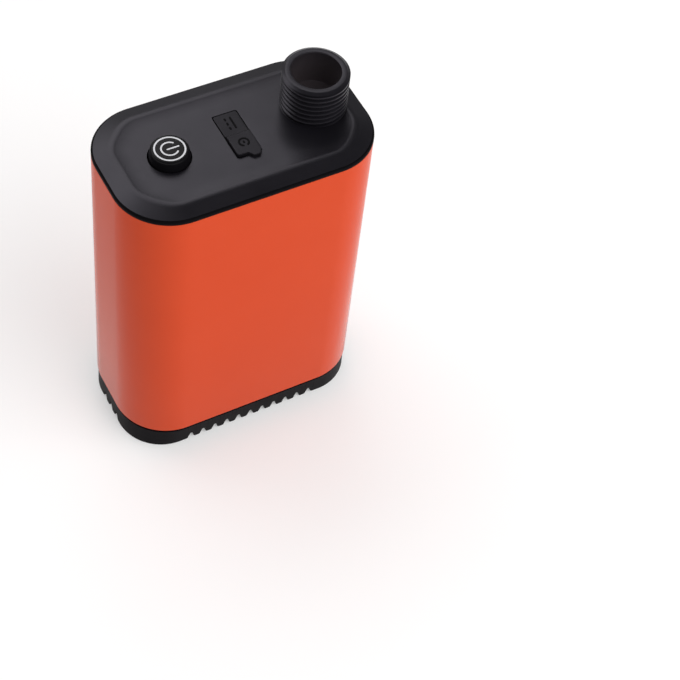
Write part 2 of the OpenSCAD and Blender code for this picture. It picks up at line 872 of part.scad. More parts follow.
// The link runs under both cells, through a slot in the cradle's web
module cell_link() {
    color(steel)
    translate([cell_x - strip_w / 2, -cell_y - strip_w / 2, cell_z - link_t])
        cube([strip_w, 2 * cell_y + strip_w, link_t]);
}

module cell_tabs() {
    color(steel)
    for (c = cells)
        translate([c[0] - strip_w / 2, c[1] - strip_w / 2, cell_top]) cube([strip_w, strip_w, link_t]);
}

// Leads

function unit(v) = v / norm(v);
function lead_tangent(path, i) =
    unit(path[min(i + 1, len(path) - 1)] - path[max(i - 1, 0)]);
function lead_ring(path, i, r, sides) =
    let (t = lead_tangent(path, i), u = unit(cross(t, [0, 1, 0])), v = cross(t, u))
        [for (k = [0:sides - 1]) path[i] + r * (cos(360 * k / sides) * u + sin(360 * k / sides) * v)];

// A round lead along a path, with flat ends
module lead(path, r) {
    sides = 8;
    last = len(path) - 1;
    rings = [for (i = [0:last]) each lead_ring(path, i, r, sides)];
    walls = [
        for (i = [0:last - 1], k = [0:sides - 1])
            let (a = i * sides + k, b = i * sides + (k + 1) % sides)
                each [[a, b, b + sides], [a, b + sides, a + sides]]
    ];
    start = [for (k = [1:sides - 2]) [0, k + 1, k]];
    end = [for (k = [1:sides - 2]) [last * sides, last * sides + k, last * sides + k + 1]];
    polyhedron(rings, concat(walls, start, end));
}

// A lead that leaves one point upwards, sways across and comes up under the board
function rise(from, to) =
    let (low = from + [0, 0, lead_straight], high = to - [0, 0, lead_straight])
        concat([from], [for (t = [0:0.125:1]) low + [
            (high[0] - low[0]) * (1 - cos(180 * t)) / 2,
            (high[1] - low[1]) * (1 - cos(180 * t)) / 2,
            (high[2] - low[2]) * t
        ]], [to]);

module battery_leads() {
    for (i = [0, 1])
        color(i == 0 ? lead_red : black_plastic)
            lead(rise(
                [cells[i][0], cells[i][1], cell_top + link_t],
                [cells[i][0], sign(cells[i][1]) * cell_lead_y, board_z]
            ), lead_r);
}

module motor_leads() {
    for (i = [0, 1])
        color(i == 0 ? lead_red : black_plastic)
            lead(rise(
                [terminal_places[i][0], terminal_places[i][1], bell_top + terminal_h],
                [button_x + chip_out + chip_size[0] + lead_pitch * (i + 1), board_half_d - lead_in, board_z]
            ), lead_r);
}

// Long screws from under the bulkhead up into the cap's bosses
module tie_screws() {
    color(steel)
    for (p = ties)
        screw(p, bulkhead_z, tie_head_r, tie_head_h, tie_r, panel_z - tie_boss_h + tie_grip - bulkhead_z);
}

module body_sleeve() {
    color(orange) prism(base_h, sleeve_top) outline_ring(0, sleeve_wall);
}

// Cap

dish_steps = 8;
edge_round = 0.3;

// The rim's section: a rounded edge, a straight band up to the ridge, and a dish that falls from the
// ridge as a parabola and runs out in the flat floor
rim_section = concat(
    [[body_r, sleeve_top]],
    [for (a = [0:30:60]) [
        body_r - edge_round * (1 - cos(a)), edge_z - edge_round * (1 - sin(a))
    ]],
    [for (i = [0:dish_steps]) let (t = i / dish_steps)
        [body_r - rim_in - dish_w * t, floor_z + dish_depth * pow(1 - t, 2)]],
    [[body_r - rim_in - dish_w, sleeve_top]]
);

// The pocket's plan, as the rubber cover with a gap all round
module pocket_plan() {
    translate([port_x - flap_w / 2 - flap_gap, flap_front - flap_gap])
        square([flap_w + 2 * flap_gap, flap_len + anchor_len + 2 * flap_gap]);
}

module top_cap() {
    color(black_plastic)
    difference() {
        union() {
            around() polygon(rim_section);
            prism(sleeve_top, floor_z) outline(rim_in + dish_w / 2);
            prism(panel_z, sleeve_top) outline(inner_in);
            prism(panel_z - skirt_h, panel_z) outline_ring(inner_in, skirt_wall);
            for (p = ties) post(p, tie_boss_r, panel_z - tie_boss_h, panel_z);
            for (p = posts) post(p, post_r, board_top, panel_z);
            post(button, well_r + well_wall, boot_top - boot_t, panel_z);
        }
        post(outlet, thread_r + fit_gap, floor_z, ridge_z + cut);
        post(outlet, tail_r + fit_gap, panel_z - cut, floor_z + cut);
        post(button, button_r + button_gap, panel_z - cut, floor_z + cut);
        post(button, well_r, boot_top - boot_t - cut, panel_z);
        prism(pocket_z, floor_z + cut) pocket_plan();
        post([port_x, plug_y], port_hole_r, panel_z - cut, floor_z + cut);
        post([port_x, anchor_stem_y], anchor_stem_r + fit_gap, panel_z - cut, floor_z + cut);
        for (p = ties)
            post(p, tie_r + screw_gap, panel_z - tie_boss_h - cut, panel_z - tie_boss_h + tie_grip + cut);
        for (p = posts)
            post(p, board_screw_r + screw_gap, board_top - cut, board_top + board_screw_bite);
        seal_groove(cap_groove_z);
    }
}

module cap_seal() {
    groove_seal(cap_groove_z);
}

// Outlet: a collar sunk among the rim, the cylinder of the thread's crests with a chamfered mouth, and
// a tail that goes through the cap
module outlet_spigot() {
    bore_z = mouth_z - spigot_bore_depth;
    color(black_plastic)
    difference() {
        union() {
            post(outlet, thread_r - collar_step, floor_z, thread_z);
            post(outlet, thread_r, thread_z, mouth_z - lead_h);
            translate([outlet[0], outlet[1], mouth_z - lead_h])
                cylinder(h = lead_h, r1 = thread_r, r2 = thread_r - spigot_lead);
            post(outlet, tail_r, tail_z, floor_z);
        }
        post(outlet, spigot_bore / 2, bore_z, mouth_z + cut);
        post(outlet, riser_bore_r, tail_z - cut, bore_z + cut);
        post(outlet, riser_r + fit_gap, tail_z - cut, riser_top);
        ring_groove(tail_r, (floor_z + panel_z) / 2);
    }
}

module spigot_seal() {
    color(seal_rubber) groove_oring(tail_r, (floor_z + panel_z) / 2);
}

module spigot_nut() {
    color(black_plastic)
    difference() {
        translate([outlet[0], outlet[1], panel_z - nut_h])
            rotate([0, 0, 30]) cylinder(h = nut_h, d = nut_flats / cos(30), $fn = 6);
        post(outlet, tail_r + screw_gap, panel_z - nut_h - cut, panel_z + cut);
    }
}

// Button

module power_button() {
    top_r = button_top_d / 2;
    color(black_plastic)
    translate([button_x, button_y, 0])
        rotate_extrude()
            union() {
                translate([0, stem_z]) square([stem_r, collar_z - stem_z]);
                translate([0, collar_z]) square([collar_r, collar_h]);
                polygon(concat(
                    [[0, collar_z + collar_h], [button_r, collar_z + collar_h], [button_r, floor_z]],
                    [for (a = [0:15:90]) [
                        top_r - button_round * (1 - cos(a)),
                        floor_z + button_h - button_round * (1 - sin(a))
                    ]],
                    [[0, floor_z + button_h]]
                ));
            }
}

module button_boot() {
    color(seal_rubber)
    difference() {
        post(button, well_r - screw_gap, boot_top - boot_t, boot_top);
        post(button, stem_r + button_gap, boot_top - boot_t - cut, boot_top + cut);
    }
}

module tact_switch() {
    well_z = switch_top - plunger_in - button_travel - part_gap;
    color(black_plastic)
    difference() {
        translate([button_x - switch_w / 2, button_y - switch_w / 2, board_top])
            cube([switch_w, switch_w, switch_h]);
        post(button, plunger_r + button_gap, well_z, switch_top + cut);
    }
}

module switch_plunger() {
    color(white_plastic) post(button, plunger_r, switch_top - plunger_in, stem_z);
}

// Board

module control_board() {
    color(board_green)
    difference() {
        union() {
            translate([board_x0, -board_half_d, board_z])
                cube([board_x1 - board_x0, 2 * board_half_d, board_t]);
            translate([button_x + chip_out, chip_in - board_half_d, board_top]) cube(chip_size);
            translate([button_x + chip_out, board_half_d - chip_in - coil_size[1], board_top])
                cube(coil_size);
        }
        for (p = posts) post(p, board_screw_r + screw_gap, board_z - cut, board_top + cut);
    }
}

module board_screws() {
    color(steel)
    for (p = posts)
        screw(p, board_z, board_head_r, board_head_h, board_screw_r,
            board_t + board_screw_bite - screw_gap);
}

module dc_jack() {
    color(black_plastic)
    difference() {
        translate([port_x - jack_w / 2, plug_y - jack_w / 2, board_top])
            cube([jack_w, jack_w, jack_top - board_top]);
        post([port_x, plug_y], jack_r, jack_top - jack_depth, jack_top + cut);
    }
}

module jack_pin() {
    color(brass) {
        base = jack_top - jack_depth;
        post([port_x, plug_y], jack_pin_r, base, base + jack_pin_h);
    }
}

// Rubber cover

module flap_anchor() {
    color(rubber)
    union() {
        translate([port_x - flap_w / 2, fold_y, pocket_z]) cube([flap_w, anchor_len, anchor_top - pocket_z]);
        post([port_x, anchor_stem_y], anchor_stem_r, panel_z, pocket_z);
        post([port_x, anchor_stem_y], anchor_head_r, panel_z - anchor_head_h, panel_z);
    }
}

module charge_flap() {
    left = port_x - flap_w / 2;
    color(rubber)
    union() {
        translate([left, flap_front, flap_bottom])
            cube([flap_w, flap_len - fold_gap, flap_top - flap_bottom]);
        prism(floor_z + tab_lift, flap_top)
            polygon([
                [tab_left, flap_front + tab_len], [tab_left, flap_front],
                [tab_left + tab_slant, flap_front - tab_len], [tab_right - tab_slant, flap_front - tab_len],
                [tab_right, flap_front], [tab_right, flap_front + tab_len]
            ]);
        post([port_x, plug_y], plug_r, plug_z, flap_bottom);
    }
}

base_shell();
base_screws();
intake_strainer();
suction_cover();
cover_screws();
pump_casing();
casing_seal();
impeller();
motor_shaft();
shaft_seal();
motor_can();
motor_end_bell();
motor_terminals();
motor_screws();
riser_pipe();
riser_seals();
battery_cradle();
battery_cell_front();
battery_cell_rear();
cell_link();
cell_tabs();
battery_leads();
motor_leads();
tie_screws();
body_sleeve();
top_cap();
cap_seal();
outlet_spigot();
spigot_seal();
spigot_nut();
power_button();
button_boot();
tact_switch();
switch_plunger();
control_board();
board_screws();
dc_jack();
jack_pin();
flap_anchor();
charge_flap();
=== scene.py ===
"""Camp shower pump: the looks of every piece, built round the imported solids.

Lengths in this script are millimetres until a mesh is made, and +Z is up. The body's plan is a rounded
rectangle about the origin, the outlet stands at the +X end, and the front faces -Y.
"""

import json
import math

import bmesh
import bpy
import numpy as np
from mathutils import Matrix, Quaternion, Vector
from mathutils.geometry import delaunay_2d_cdt


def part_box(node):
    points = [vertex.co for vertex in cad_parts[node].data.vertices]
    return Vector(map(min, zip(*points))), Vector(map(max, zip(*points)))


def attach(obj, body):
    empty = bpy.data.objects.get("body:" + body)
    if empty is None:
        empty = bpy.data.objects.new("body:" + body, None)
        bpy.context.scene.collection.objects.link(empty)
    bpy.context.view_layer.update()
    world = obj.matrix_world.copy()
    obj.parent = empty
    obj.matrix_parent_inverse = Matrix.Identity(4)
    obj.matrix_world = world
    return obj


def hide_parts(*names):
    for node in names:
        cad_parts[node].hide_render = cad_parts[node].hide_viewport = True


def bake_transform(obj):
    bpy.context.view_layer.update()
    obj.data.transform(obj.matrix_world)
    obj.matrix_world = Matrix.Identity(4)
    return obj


MM = 0.001
TURN = 2 * math.pi

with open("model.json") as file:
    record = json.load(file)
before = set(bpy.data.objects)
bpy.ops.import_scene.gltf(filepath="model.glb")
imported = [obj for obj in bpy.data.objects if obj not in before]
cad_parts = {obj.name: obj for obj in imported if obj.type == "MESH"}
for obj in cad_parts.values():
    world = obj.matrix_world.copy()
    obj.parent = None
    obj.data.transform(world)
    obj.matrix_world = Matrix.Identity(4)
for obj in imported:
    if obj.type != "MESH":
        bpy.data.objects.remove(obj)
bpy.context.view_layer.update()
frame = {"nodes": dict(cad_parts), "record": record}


def box_mm(node):
    """Lowest and highest corner of a solid, in millimetres."""
    return [np.array(corner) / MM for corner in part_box(node)]


def middle(node):
    """Middle of a solid's box in the plan."""
    low, high = box_mm(node)
    return (low[:2] + high[:2]) / 2


# Places and levels that come from the solids
sleeve_low, sleeve_high = box_mm("body_sleeve")
half_w, half_d = sleeve_high[:2]
sleeve_z, sleeve_top = sleeve_low[2], sleeve_high[2]
ridge_z = box_mm("top_cap")[1][2]
outlet = middle("outlet_spigot")
tail_z, mouth_z = (corner[2] for corner in box_mm("outlet_spigot"))
button = middle("power_button")
stem_z, button_top = (corner[2] for corner in box_mm("power_button"))
flap_low, flap_high = box_mm("charge_flap")
anchor_low, anchor_high = box_mm("flap_anchor")
intake = middle("intake_strainer")
plate_top = box_mm("intake_strainer")[0][2]
bulkhead_z = box_mm("base_shell")[1][2]

# Body
corner_r = 18.0
sleeve_wall = 2.0
inner_in = 2.15         # from the sleeve's outer face to what plugs into it
edge_round = 0.3        # soft edge of a moulding

# Cap
edge_t = 1.3            # height of the upright edge
edge_soft = 0.9         # round where the upright edge turns into the band
edge_split = 110.0      # angle on that round, in degrees, up to which the edge has the darker matt black of painted shade
edge_seat = 0.4         # height of the step under the matt edge
edge_gap = 0.02         # between the matt edge and what it lies on
rim_in = 5.6            # from the cap's edge in to its ridge
corner_in = 1.0         # how much farther in the ridge lies at the corners
ridge_round = 1.3       # half width of the round on the ridge
ridge_lift = 0.05       # top of the ridge's curve over its solid, before it is rounded off
dish_w = 5.2            # from the ridge down to the flat floor
panel_tuck = 0.3        # how far the cap's panel plugs into the sleeve
skirt_h = 8.0           # skirt that plugs into the sleeve
skirt_in = 3.95         # from the sleeve's outer face to the skirt's inner face
cover_lift = 0.1        # fixed half of the port's cover above the cap's floor
well_flare = 0.12       # round where a well or the pocket meets the cap's floor
seat_sink = 0.02        # outlet's seat under the cap's floor
edge_z = sleeve_top + edge_t
floor_z = anchor_high[2] - cover_lift
panel_z = sleeve_top - panel_tuck

# Outlet
thread_r = 10.4775      # half inch pipe thread, over its crests
thread_pitch = 1.814
thread_depth = 0.95
crest_half = 0.16       # half the width of the flat crest, in pitches
root_half = 0.46        # half the width from root to root, in pitches
thread_start = 0.1      # from the cap's floor up to the thread
thread_stop = 0.6       # from the thread up to the mouth
thread_fade = 0.25      # height over which the thread runs in and out
bore_r = 7.75
bore_depth = 12.2
riser_bore_r = 4.2
riser_seat_r = 6.15
riser_seat = 6.0        # depth of the riser pipe's seat in the tail
tail_r = 7.7            # tail under the cap
fit_gap = 0.15
chamfer = 0.9           # from the thread's crests in to the mouth's edge
mouth_round = 0.35      # mouth's outer edge
mouth_in = 0.25         # from the chamfer to the middle of that round
bore_round = 0.25       # mouth's inner edge
bore_fillet = 0.4       # foot of the bore
riser_round = 0.3       # edge of the riser's bore

# Button
button_r = 6.4
button_top_r = 6.0
button_round = 0.8
button_gap = 0.3
button_stem_r = 2.5
collar_r = 7.6          # collar that keeps the button in the cap
collar_drop = 0.3       # collar under the cap's panel
collar_h = 1.1
ring_r = 4.65           # printed ring round the power sign
sign_r = 2.6
sign_gap = 44.0         # half the opening of the power sign, in degrees
bar_from, bar_to = -0.75, 2.9
stroke_w = 0.52
ink_t = 0.03            # print above the button, and as far into it

# Port and its cover
flap_gap = 0.25
flap_len = 9.2          # free half without its pull tab
pocket_depth = 0.8
pocket_round = 0.7
port_r = 3.2
anchor_stem_r = 1.6
plug_r = 2.7
plug_chamfer = 0.3
plug_ahead = 4.7        # from the fold to the plug's axis
stem_behind = 5.0       # from the fold to the stem's axis
tab_w = 4.45            # pull tab at its root
tab_slant = 1.2         # how far each side of the tab leans in
cover_corners = [0.6, 0.9, 0.7, 0.6, 0.7, 0.6, 0.6]
cover_round = 0.15
cover_proud = 0.15      # crown of the free half over its solid
cover_rest = 0.1        # cover's underside above the pocket's floor
ramp_w = 0.9            # from the fold to where the free half has its full height
mark_w = 0.62
mark_h = 0.12           # marks above the rubber
mark_round = 0.08
mark_sunk = 0.1         # foot of the marks under the cap's floor
fold_y = anchor_low[1]
flap_front = fold_y - flap_len
port = np.array([(anchor_low[0] + anchor_high[0]) / 2, fold_y - plug_ahead])
anchor_stem = np.array([port[0], fold_y + stem_behind])

# Base
base_reveal = 0.4       # from the sleeve's face in to the base
foot_lean = 1.1         # how far the long sides lean in at the foot
foot_r = 15.6           # corners at the foot
hollow_in = 3.2         # from the sleeve's face in to the hollow under the plate
lip_in = 3.75           # from the sleeve's face in to the lip's inner face
groove_in = 1.2         # shadow groove under the sleeve
groove_h = 1.25
groove_edge = 0.2       # round on the groove's lower edge
groove_z = sleeve_z - groove_h
plate_z = 4.6           # underside of the plate across the base
notch_h = 3.1
notch_foot_w = 2.4
notch_top_w = 0.7
notch_pitch = 4.5
notches_long = 11
notches_end = 3
notch_foot_round = 0.55
notch_top_round = 0.3
foot_round = 0.4
slots = 6
slot_w = 2.0
slot_pitch = 3.6
slot_clear = 0.2        # from a slot's end to the grille's edge
grille_r = 11.6
screw_x, screw_y = 30.7, 12.8
screw_hole_r = 1.56


# Surfaces

def body_outline(per_arc=28):
    """The sleeve's outline in the plan, counter-clockwise: four quarter circles about the centres of the
    corners, which the straight sides join. Returns its points and outward normals."""
    centre = np.array([half_w - corner_r, half_d - corner_r])
    signs = np.array([[1, 1], [-1, 1], [-1, -1], [1, -1]])
    angles = np.linspace(0, TURN / 4, per_arc)[None, :] + np.arange(4)[:, None] * TURN / 4
    normals = np.stack([np.cos(angles), np.sin(angles)], axis=-1)
    points = signs[:, None, :] * centre + normals * corner_r
    return points.reshape(-1, 2), normals.reshape(-1, 2)


def circle(centre, r, steps=96):
    """Points round a circle, counter-clockwise."""
    angles = np.arange(steps) * TURN / steps
    return np.asarray(centre) + r * np.stack([np.cos(angles), np.sin(angles)], axis=-1)


def rounded(points, radii, steps=6):
    """A closed polygon with every corner replaced by an arc that touches both its sides: the arc's centre
    lies on the corner's bisector, and its points turn evenly from one touching point to the other."""
    points = np.asarray(points, float)
    radii = np.broadcast_to(np.asarray(radii, float), len(points))[:, None]
    back = np.roll(points, 1, axis=0) - points
    ahead = np.roll(points, -1, axis=0) - points
    back /= np.linalg.norm(back, axis=1, keepdims=True)
    ahead /= np.linalg.norm(ahead, axis=1, keepdims=True)
    half = np.arccos(np.clip((back * ahead).sum(1), -1, 1))[:, None] / 2
    bisector = back + ahead
    bisector /= np.linalg.norm(bisector, axis=1, keepdims=True)
    centre = points + bisector * radii / np.sin(half)
    start = points + back * radii / np.tan(half) - centre
    end = points + ahead * radii / np.tan(half) - centre
    t = np.linspace(0, 1, steps + 1)[None, :, None]
    sweep = (math.pi - 2 * half)[:, :, None]
    bend = (np.sin((1 - t) * sweep) * start[:, None] + np.sin(t * sweep) * end[:, None]) / np.sin(sweep)
    return (centre[:, None] + bend).reshape(-1, 2)


def divided(loop, spacing):
    """A closed loop with points added evenly along its longer sides."""
    side = np.roll(loop, -1, axis=0) - loop
    counts = np.maximum(1, np.ceil(np.linalg.norm(side, axis=1) / spacing).astype(int))
    first = np.repeat(np.cumsum(counts) - counts, counts)
    share = (np.arange(counts.sum()) - first) / np.repeat(counts, counts)
    return np.repeat(loop, counts, axis=0) + share[:, None] * np.repeat(side, counts, axis=0)


def stroke(path, width, cap_steps=8):
    """Outline of a pen stroke along an open path: the path moved half a width to each side, with half
    circles round its two ends."""
    path = np.asarray(path, float)
    along = np.gradient(path, axis=0)
    along /= np.linalg.norm(along, axis=1, keepdims=True)
    side = np.stack([along[:, 1], -along[:, 0]], axis=-1) * width / 2
    turn = np.linspace(0, math.pi, cap_steps)[1:-1, None]
    far = path[-1] + np.cos(turn) * side[-1] + np.sin(turn) * along[-1] * width / 2
    near = path[0] - np.cos(turn) * side[0] - np.sin(turn) * along[0] * width / 2
    return np.vstack([path + side, far, (path - side)[::-1], near])


def outward(loop):
    """Outward normals of a counter-clockwise loop, from the chord between each point's neighbours."""
    chord = np.roll(loop, -1, axis=0) - np.roll(loop, 1, axis=0)
    chord /= np.linalg.norm(chord, axis=1, keepdims=True)
    return np.stack([chord[:, 1], -chord[:, 0]], axis=-1)


def arc(centre, r, start, end, steps=6):
    """Points of a profile on a circle between two angles in degrees."""
    a = np.radians(np.linspace(start, end, steps + 1))
    return np.asarray(centre) + r * np.stack([np.cos(a), np.sin(a)], axis=-1)


def grid(points, wrap=True):
    """Quads over an array of rows of points. The rows are joined last to first where the array wraps."""
    rows, columns = points.shape[:2]
    i, j = np.meshgrid(np.arange(rows if wrap else rows - 1), np.arange(columns - 1), indexing="ij")
    ahead = (i + 1) % rows
    here, there = i * columns + j, ahead * columns + j
    quads = np.stack([here, there, there + 1, here + 1], -1)
    return points.reshape(-1, 3), quads.reshape(-1, 4)


def carried(profile, loop, normals):
    """A profile carried round a loop: each of its points is a distance in from the loop and a height."""
    profile = np.asarray(profile, float)
    plan = loop[:, None] - normals[:, None] * profile[None, :, :1]
    height = np.broadcast_to(profile[None, :, 1:], (*plan.shape[:2], 1))
    return grid(np.concatenate([plan, height], axis=-1))


def turned(profile, centre, steps=128):
    """A profile of radius and height turned about an upright axis."""
    loop = circle((0, 0), 1.0, steps)
    profile = np.asarray(profile, float)
    plan = loop[:, None] * profile[None, :, :1] + np.asarray(centre)
    height = np.broadcast_to(profile[None, :, 1:], (*plan.shape[:2], 1))
    return grid(np.concatenate([plan, height], axis=-1))


def inside(points, loop):
    """Whether each point lies in a loop: a ray from it crosses the loop's edges an odd number of times."""
    x, y = points[:, :1], points[:, 1:]
    a, b = loop, np.roll(loop, -1, axis=0)
    spans = (a[None, :, 1] > y) != (b[None, :, 1] > y)
    rise = np.where(b[:, 1] == a[:, 1], 1e-12, b[:, 1] - a[:, 1])
    crossing = a[None, :, 0] + (y - a[None, :, 1]) * (b - a)[None, :, 0] / rise
    return (spans & (x < crossing)).sum(1) % 2 == 1


def filled(loops, height, extra=None):
    """The flat between a loop and the holes in it: a Delaunay triangulation that keeps the loops' edges.
    Height is one number, or a function of the points. Extra points may lie within."""
    sizes = [len(loop) for loop in loops]
    starts = np.cumsum([0] + sizes[:-1])
    edges = [(int(s + k), int(s + (k + 1) % n)) for s, n in zip(starts, sizes) for k in range(n)]
    points = np.vstack(loops if extra is None else [*loops, extra])
    found = delaunay_2d_cdt([Vector(p) for p in points], edges, [], 0, 1e-6)
    flat = np.array([v[:] for v in found[0]])
    faces = np.array([f[:] for f in found[2]])
    centres = flat[faces].mean(axis=1)
    keep = inside(centres, loops[0])
    for hole in loops[1:]:
        keep &= ~inside(centres, hole)
    z = height(flat) if callable(height) else np.full(len(flat), height)
    return np.column_stack([flat, z]), faces[keep]


def slab(loop, bottom, top, round_r, spacing, steps=4):
    """A flat piece with a round upper edge: walls up from the loop, a quarter circle in from its top, and
    faces over top and bottom. Top gives the height of the upper face at each point of the plan."""
    normals = outward(loop)
    turn = np.linspace(0, TURN / 4, steps + 1)
    inset = np.concatenate([[0.0], round_r * (1 - np.cos(turn))])
    plan = loop[:, None] - normals[:, None] * inset[None, :, None]
    upper = top(plan.reshape(-1, 2)).reshape(plan.shape[:2])
    height = upper - np.concatenate([[0.0], round_r * (1 - np.sin(turn))])
    height[:, 0] = bottom
    low, high = loop.min(0), loop.max(0)
    ticks = [np.arange(a, b, spacing) for a, b in zip(low, high)]
    lattice = np.stack(np.meshgrid(*ticks), -1).reshape(-1, 2)
    core = loop - normals * (round_r + spacing / 2)
    within = lattice[inside(lattice, core)]
    return [
        grid(np.concatenate([plan, height[..., None]], axis=-1)),
        filled([plan[:, -1]], top, within),
        filled([loop], bottom, within),
    ]


# Pieces

def piece(name, parts, material, body="body", smooth=40.0):
    """One mesh from parts of points and faces: doubles are merged, faces turned outwards, and edges that
    bend more than the smooth angle are kept sharp. The piece then rides on its body. A solid that is only
    cut from others has no material and no body."""
    mesh = bpy.data.meshes.new(name)
    starts = np.cumsum([0] + [len(points) for points, _ in parts[:-1]])
    faces = [row for start, (_, quads) in zip(starts, parts) for row in (quads + start).tolist()]
    mesh.from_pydata((np.vstack([points for points, _ in parts]) * MM).tolist(), [], faces)
    shell = bmesh.new()
    shell.from_mesh(mesh)
    bmesh.ops.remove_doubles(shell, verts=shell.verts, dist=0.0015 * MM)
    bmesh.ops.dissolve_degenerate(shell, edges=shell.edges, dist=0.0005 * MM)
    bmesh.ops.recalc_face_normals(shell, faces=shell.faces)
    shell.to_mesh(mesh)
    shell.free()
    made = bpy.data.objects.new(name, mesh)
    bpy.context.scene.collection.objects.link(made)
    settle(made, smooth)
    if material is not None:
        mesh.materials.append(material)
    if body is not None:
        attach(made, body)
    return made


def settle(made, smooth):
    """Smooth shading, with sharp edges where the surface bends more than an angle in degrees."""
    made.data.shade_smooth()
    made.data.set_sharp_from_angle(angle=math.radians(smooth))


def large_faces_lead(made):
    """Lets the large faces of a piece set the shading beside the small ones."""
    weights = made.modifiers.new("flat_faces_lead", "WEIGHTED_NORMAL")
    weights.keep_sharp = True


def cut_out(made, cutters, smooth):
    """Subtracts other meshes from a piece, and lets its large faces set the shading beside the cuts."""
    for cutter in cutters:
        step = made.modifiers.new("cut", "BOOLEAN")
        step.object = cutter
        step.operation = "DIFFERENCE"
        step.solver = "EXACT"
    result = bpy.data.meshes.new_from_object(made.evaluated_get(bpy.context.evaluated_depsgraph_get()))
    made.modifiers.clear()
    made.data = result
    for cutter in cutters:
        bpy.data.objects.remove(cutter)
    settle(made, smooth)
    large_faces_lead(made)


# Materials

def linear(colour):
    """An sRGB hex colour as linear red, green, blue and alpha."""
    srgb = np.array([int(colour[i:i + 2], 16) for i in (1, 3, 5)]) / 255
    return (*np.where(srgb <= 0.04045, srgb / 12.92, ((srgb + 0.055) / 1.055) ** 2.4).tolist(), 1.0)


def add(tree, kind, inputs=None, **settings):
    """Adds a node with its settings. Inputs are values, or the sockets that they are linked from."""
    made = tree.nodes.new(kind)
    for key, value in settings.items():
        setattr(made, key, value)
    for key, value in (inputs or {}).items():
        if isinstance(value, bpy.types.NodeSocket):
            tree.links.new(value, made.inputs[key])
        else:
            made.inputs[key].default_value = value
    return made


def per_metre(size_mm):
    """Scale of a noise whose features are about this size."""
    return 1 / (size_mm * MM)


def surface(name):
    """An empty material with its shader, its output and the object's own coordinates."""
    made = bpy.data.materials.new(name)
    made.use_nodes = True
    tree = made.node_tree
    tree.nodes.clear()
    shader = add(tree, "ShaderNodeBsdfPrincipled")
    add(tree, "ShaderNodeOutputMaterial", {"Surface": shader.outputs["BSDF"]})
    place = add(tree, "ShaderNodeTexCoord").outputs["Object"]
    return made, tree, shader, place


def moulded(name, dark, light, rough, grain_mm, depth_mm, clouds_mm=9.0, specular=0.5, sheen="#ffffff"):
    """Moulded polymer: a spark-eroded mould leaves a fine even grain, which spreads the reflections, and
    the melt leaves faint clouds of tone and gloss. Sheen is the tint of what it mirrors. The grain is a few
    tenths of a millimetre, coarser than a real mould's, so that it shows."""
    made, tree, shader, place = surface(name)
    shader.inputs["Specular IOR Level"].default_value = specular
    shader.inputs["Specular Tint"].default_value = linear(sheen)
    clouds = add(tree, "ShaderNodeTexNoise", {
        "Vector": place, "Scale": per_metre(clouds_mm), "Detail": 3.0, "Roughness": 0.55})
    tone = add(tree, "ShaderNodeMix", {
        "Factor": clouds.outputs["Fac"], "A": linear(dark), "B": linear(light)}, data_type="RGBA")
    gloss = add(tree, "ShaderNodeMapRange", {
        "Value": clouds.outputs["Fac"], "From Min": 0.3, "From Max": 0.7,
        "To Min": rough[0], "To Max": rough[1]})
    grain = add(tree, "ShaderNodeTexNoise", {
        "Vector": place, "Scale": per_metre(grain_mm), "Detail": 2.0, "Roughness": 0.5})
    relief = add(tree, "ShaderNodeBump", {
        "Height": grain.outputs["Fac"], "Strength": 0.6, "Distance": depth_mm * MM})
    tree.links.new(tone.outputs["Result"], shader.inputs["Base Color"])
    tree.links.new(gloss.outputs["Result"], shader.inputs["Roughness"])
    tree.links.new(relief.outputs["Normal"], shader.inputs["Normal"])
    return made


def bore_painted_light(made, colour):
    """Paints light into a moulding within the radius of the outlet's bore, measured in the plan from the
    outlet's axis: a lighter colour is mixed in, and its share grows evenly with the depth under the mouth."""
    edge_mm, share_at_mouth = 0.2, 0.15
    tree = made.node_tree
    tone = tree.nodes["Mix"].outputs["Result"]
    place = tree.nodes["Texture Coordinate"].outputs["Object"]
    offset = add(tree, "ShaderNodeMapping", {
        "Vector": place, "Location": (-outlet[0] * MM, -outlet[1] * MM, 0.0), "Scale": (1.0, 1.0, 0.0)})
    radius = add(tree, "ShaderNodeVectorMath", {0: offset.outputs["Vector"]}, operation="LENGTH")
    within = add(tree, "ShaderNodeMapRange", {
        "Value": radius.outputs["Value"], "From Min": bore_r * MM, "From Max": (bore_r + edge_mm) * MM,
        "To Min": 1.0, "To Max": 0.0})
    height = add(tree, "ShaderNodeSeparateXYZ", {"Vector": place})
    depth = add(tree, "ShaderNodeMapRange", {
        "Value": height.outputs["Z"], "From Min": (mouth_z - bore_depth) * MM, "From Max": mouth_z * MM,
        "To Min": 1.0, "To Max": share_at_mouth})
    share = add(tree, "ShaderNodeMath", {0: within.outputs["Result"], 1: depth.outputs["Result"]},
                operation="MULTIPLY")
    both = add(tree, "ShaderNodeMix", {"Factor": share.outputs[0], "A": tone, "B": linear(colour)},
               data_type="RGBA")
    tree.links.new(both.outputs["Result"], tree.nodes["Principled BSDF"].inputs["Base Color"])
    return made


# Orange ABS, satin: an even saturated colour with broad soft reflections
orange_abs = moulded("satin_orange_abs", "#d24926", "#d74e2b", (0.15, 0.2), 0.45, 0.006, 30.0, 0.07)
# Black ABS from a textured mould: dull charcoal that only lightens where it mirrors the backdrop
black_abs = moulded("textured_black_abs", "#100f13", "#131216", (0.31, 0.36), 0.35, 0.010,
                    sheen="#f6f0ff")
# The same black ABS on the outlet, with painted light in its bore: a lighter grey the deeper it stands
outlet_abs = bore_painted_light(moulded("black_abs_painted_bore_light", "#100f13", "#131216", (0.31, 0.36), 0.35, 0.010,
                                 sheen="#f6f0ff"), "#4b4447")
# Black ABS from a coarse mould, on the base: nearly matt, and only mirrors the floor at low angles
base_abs = moulded("matt_black_abs", "#0e0b0e", "#120f12", (0.44, 0.52), 0.5, 0.02, specular=0.05)
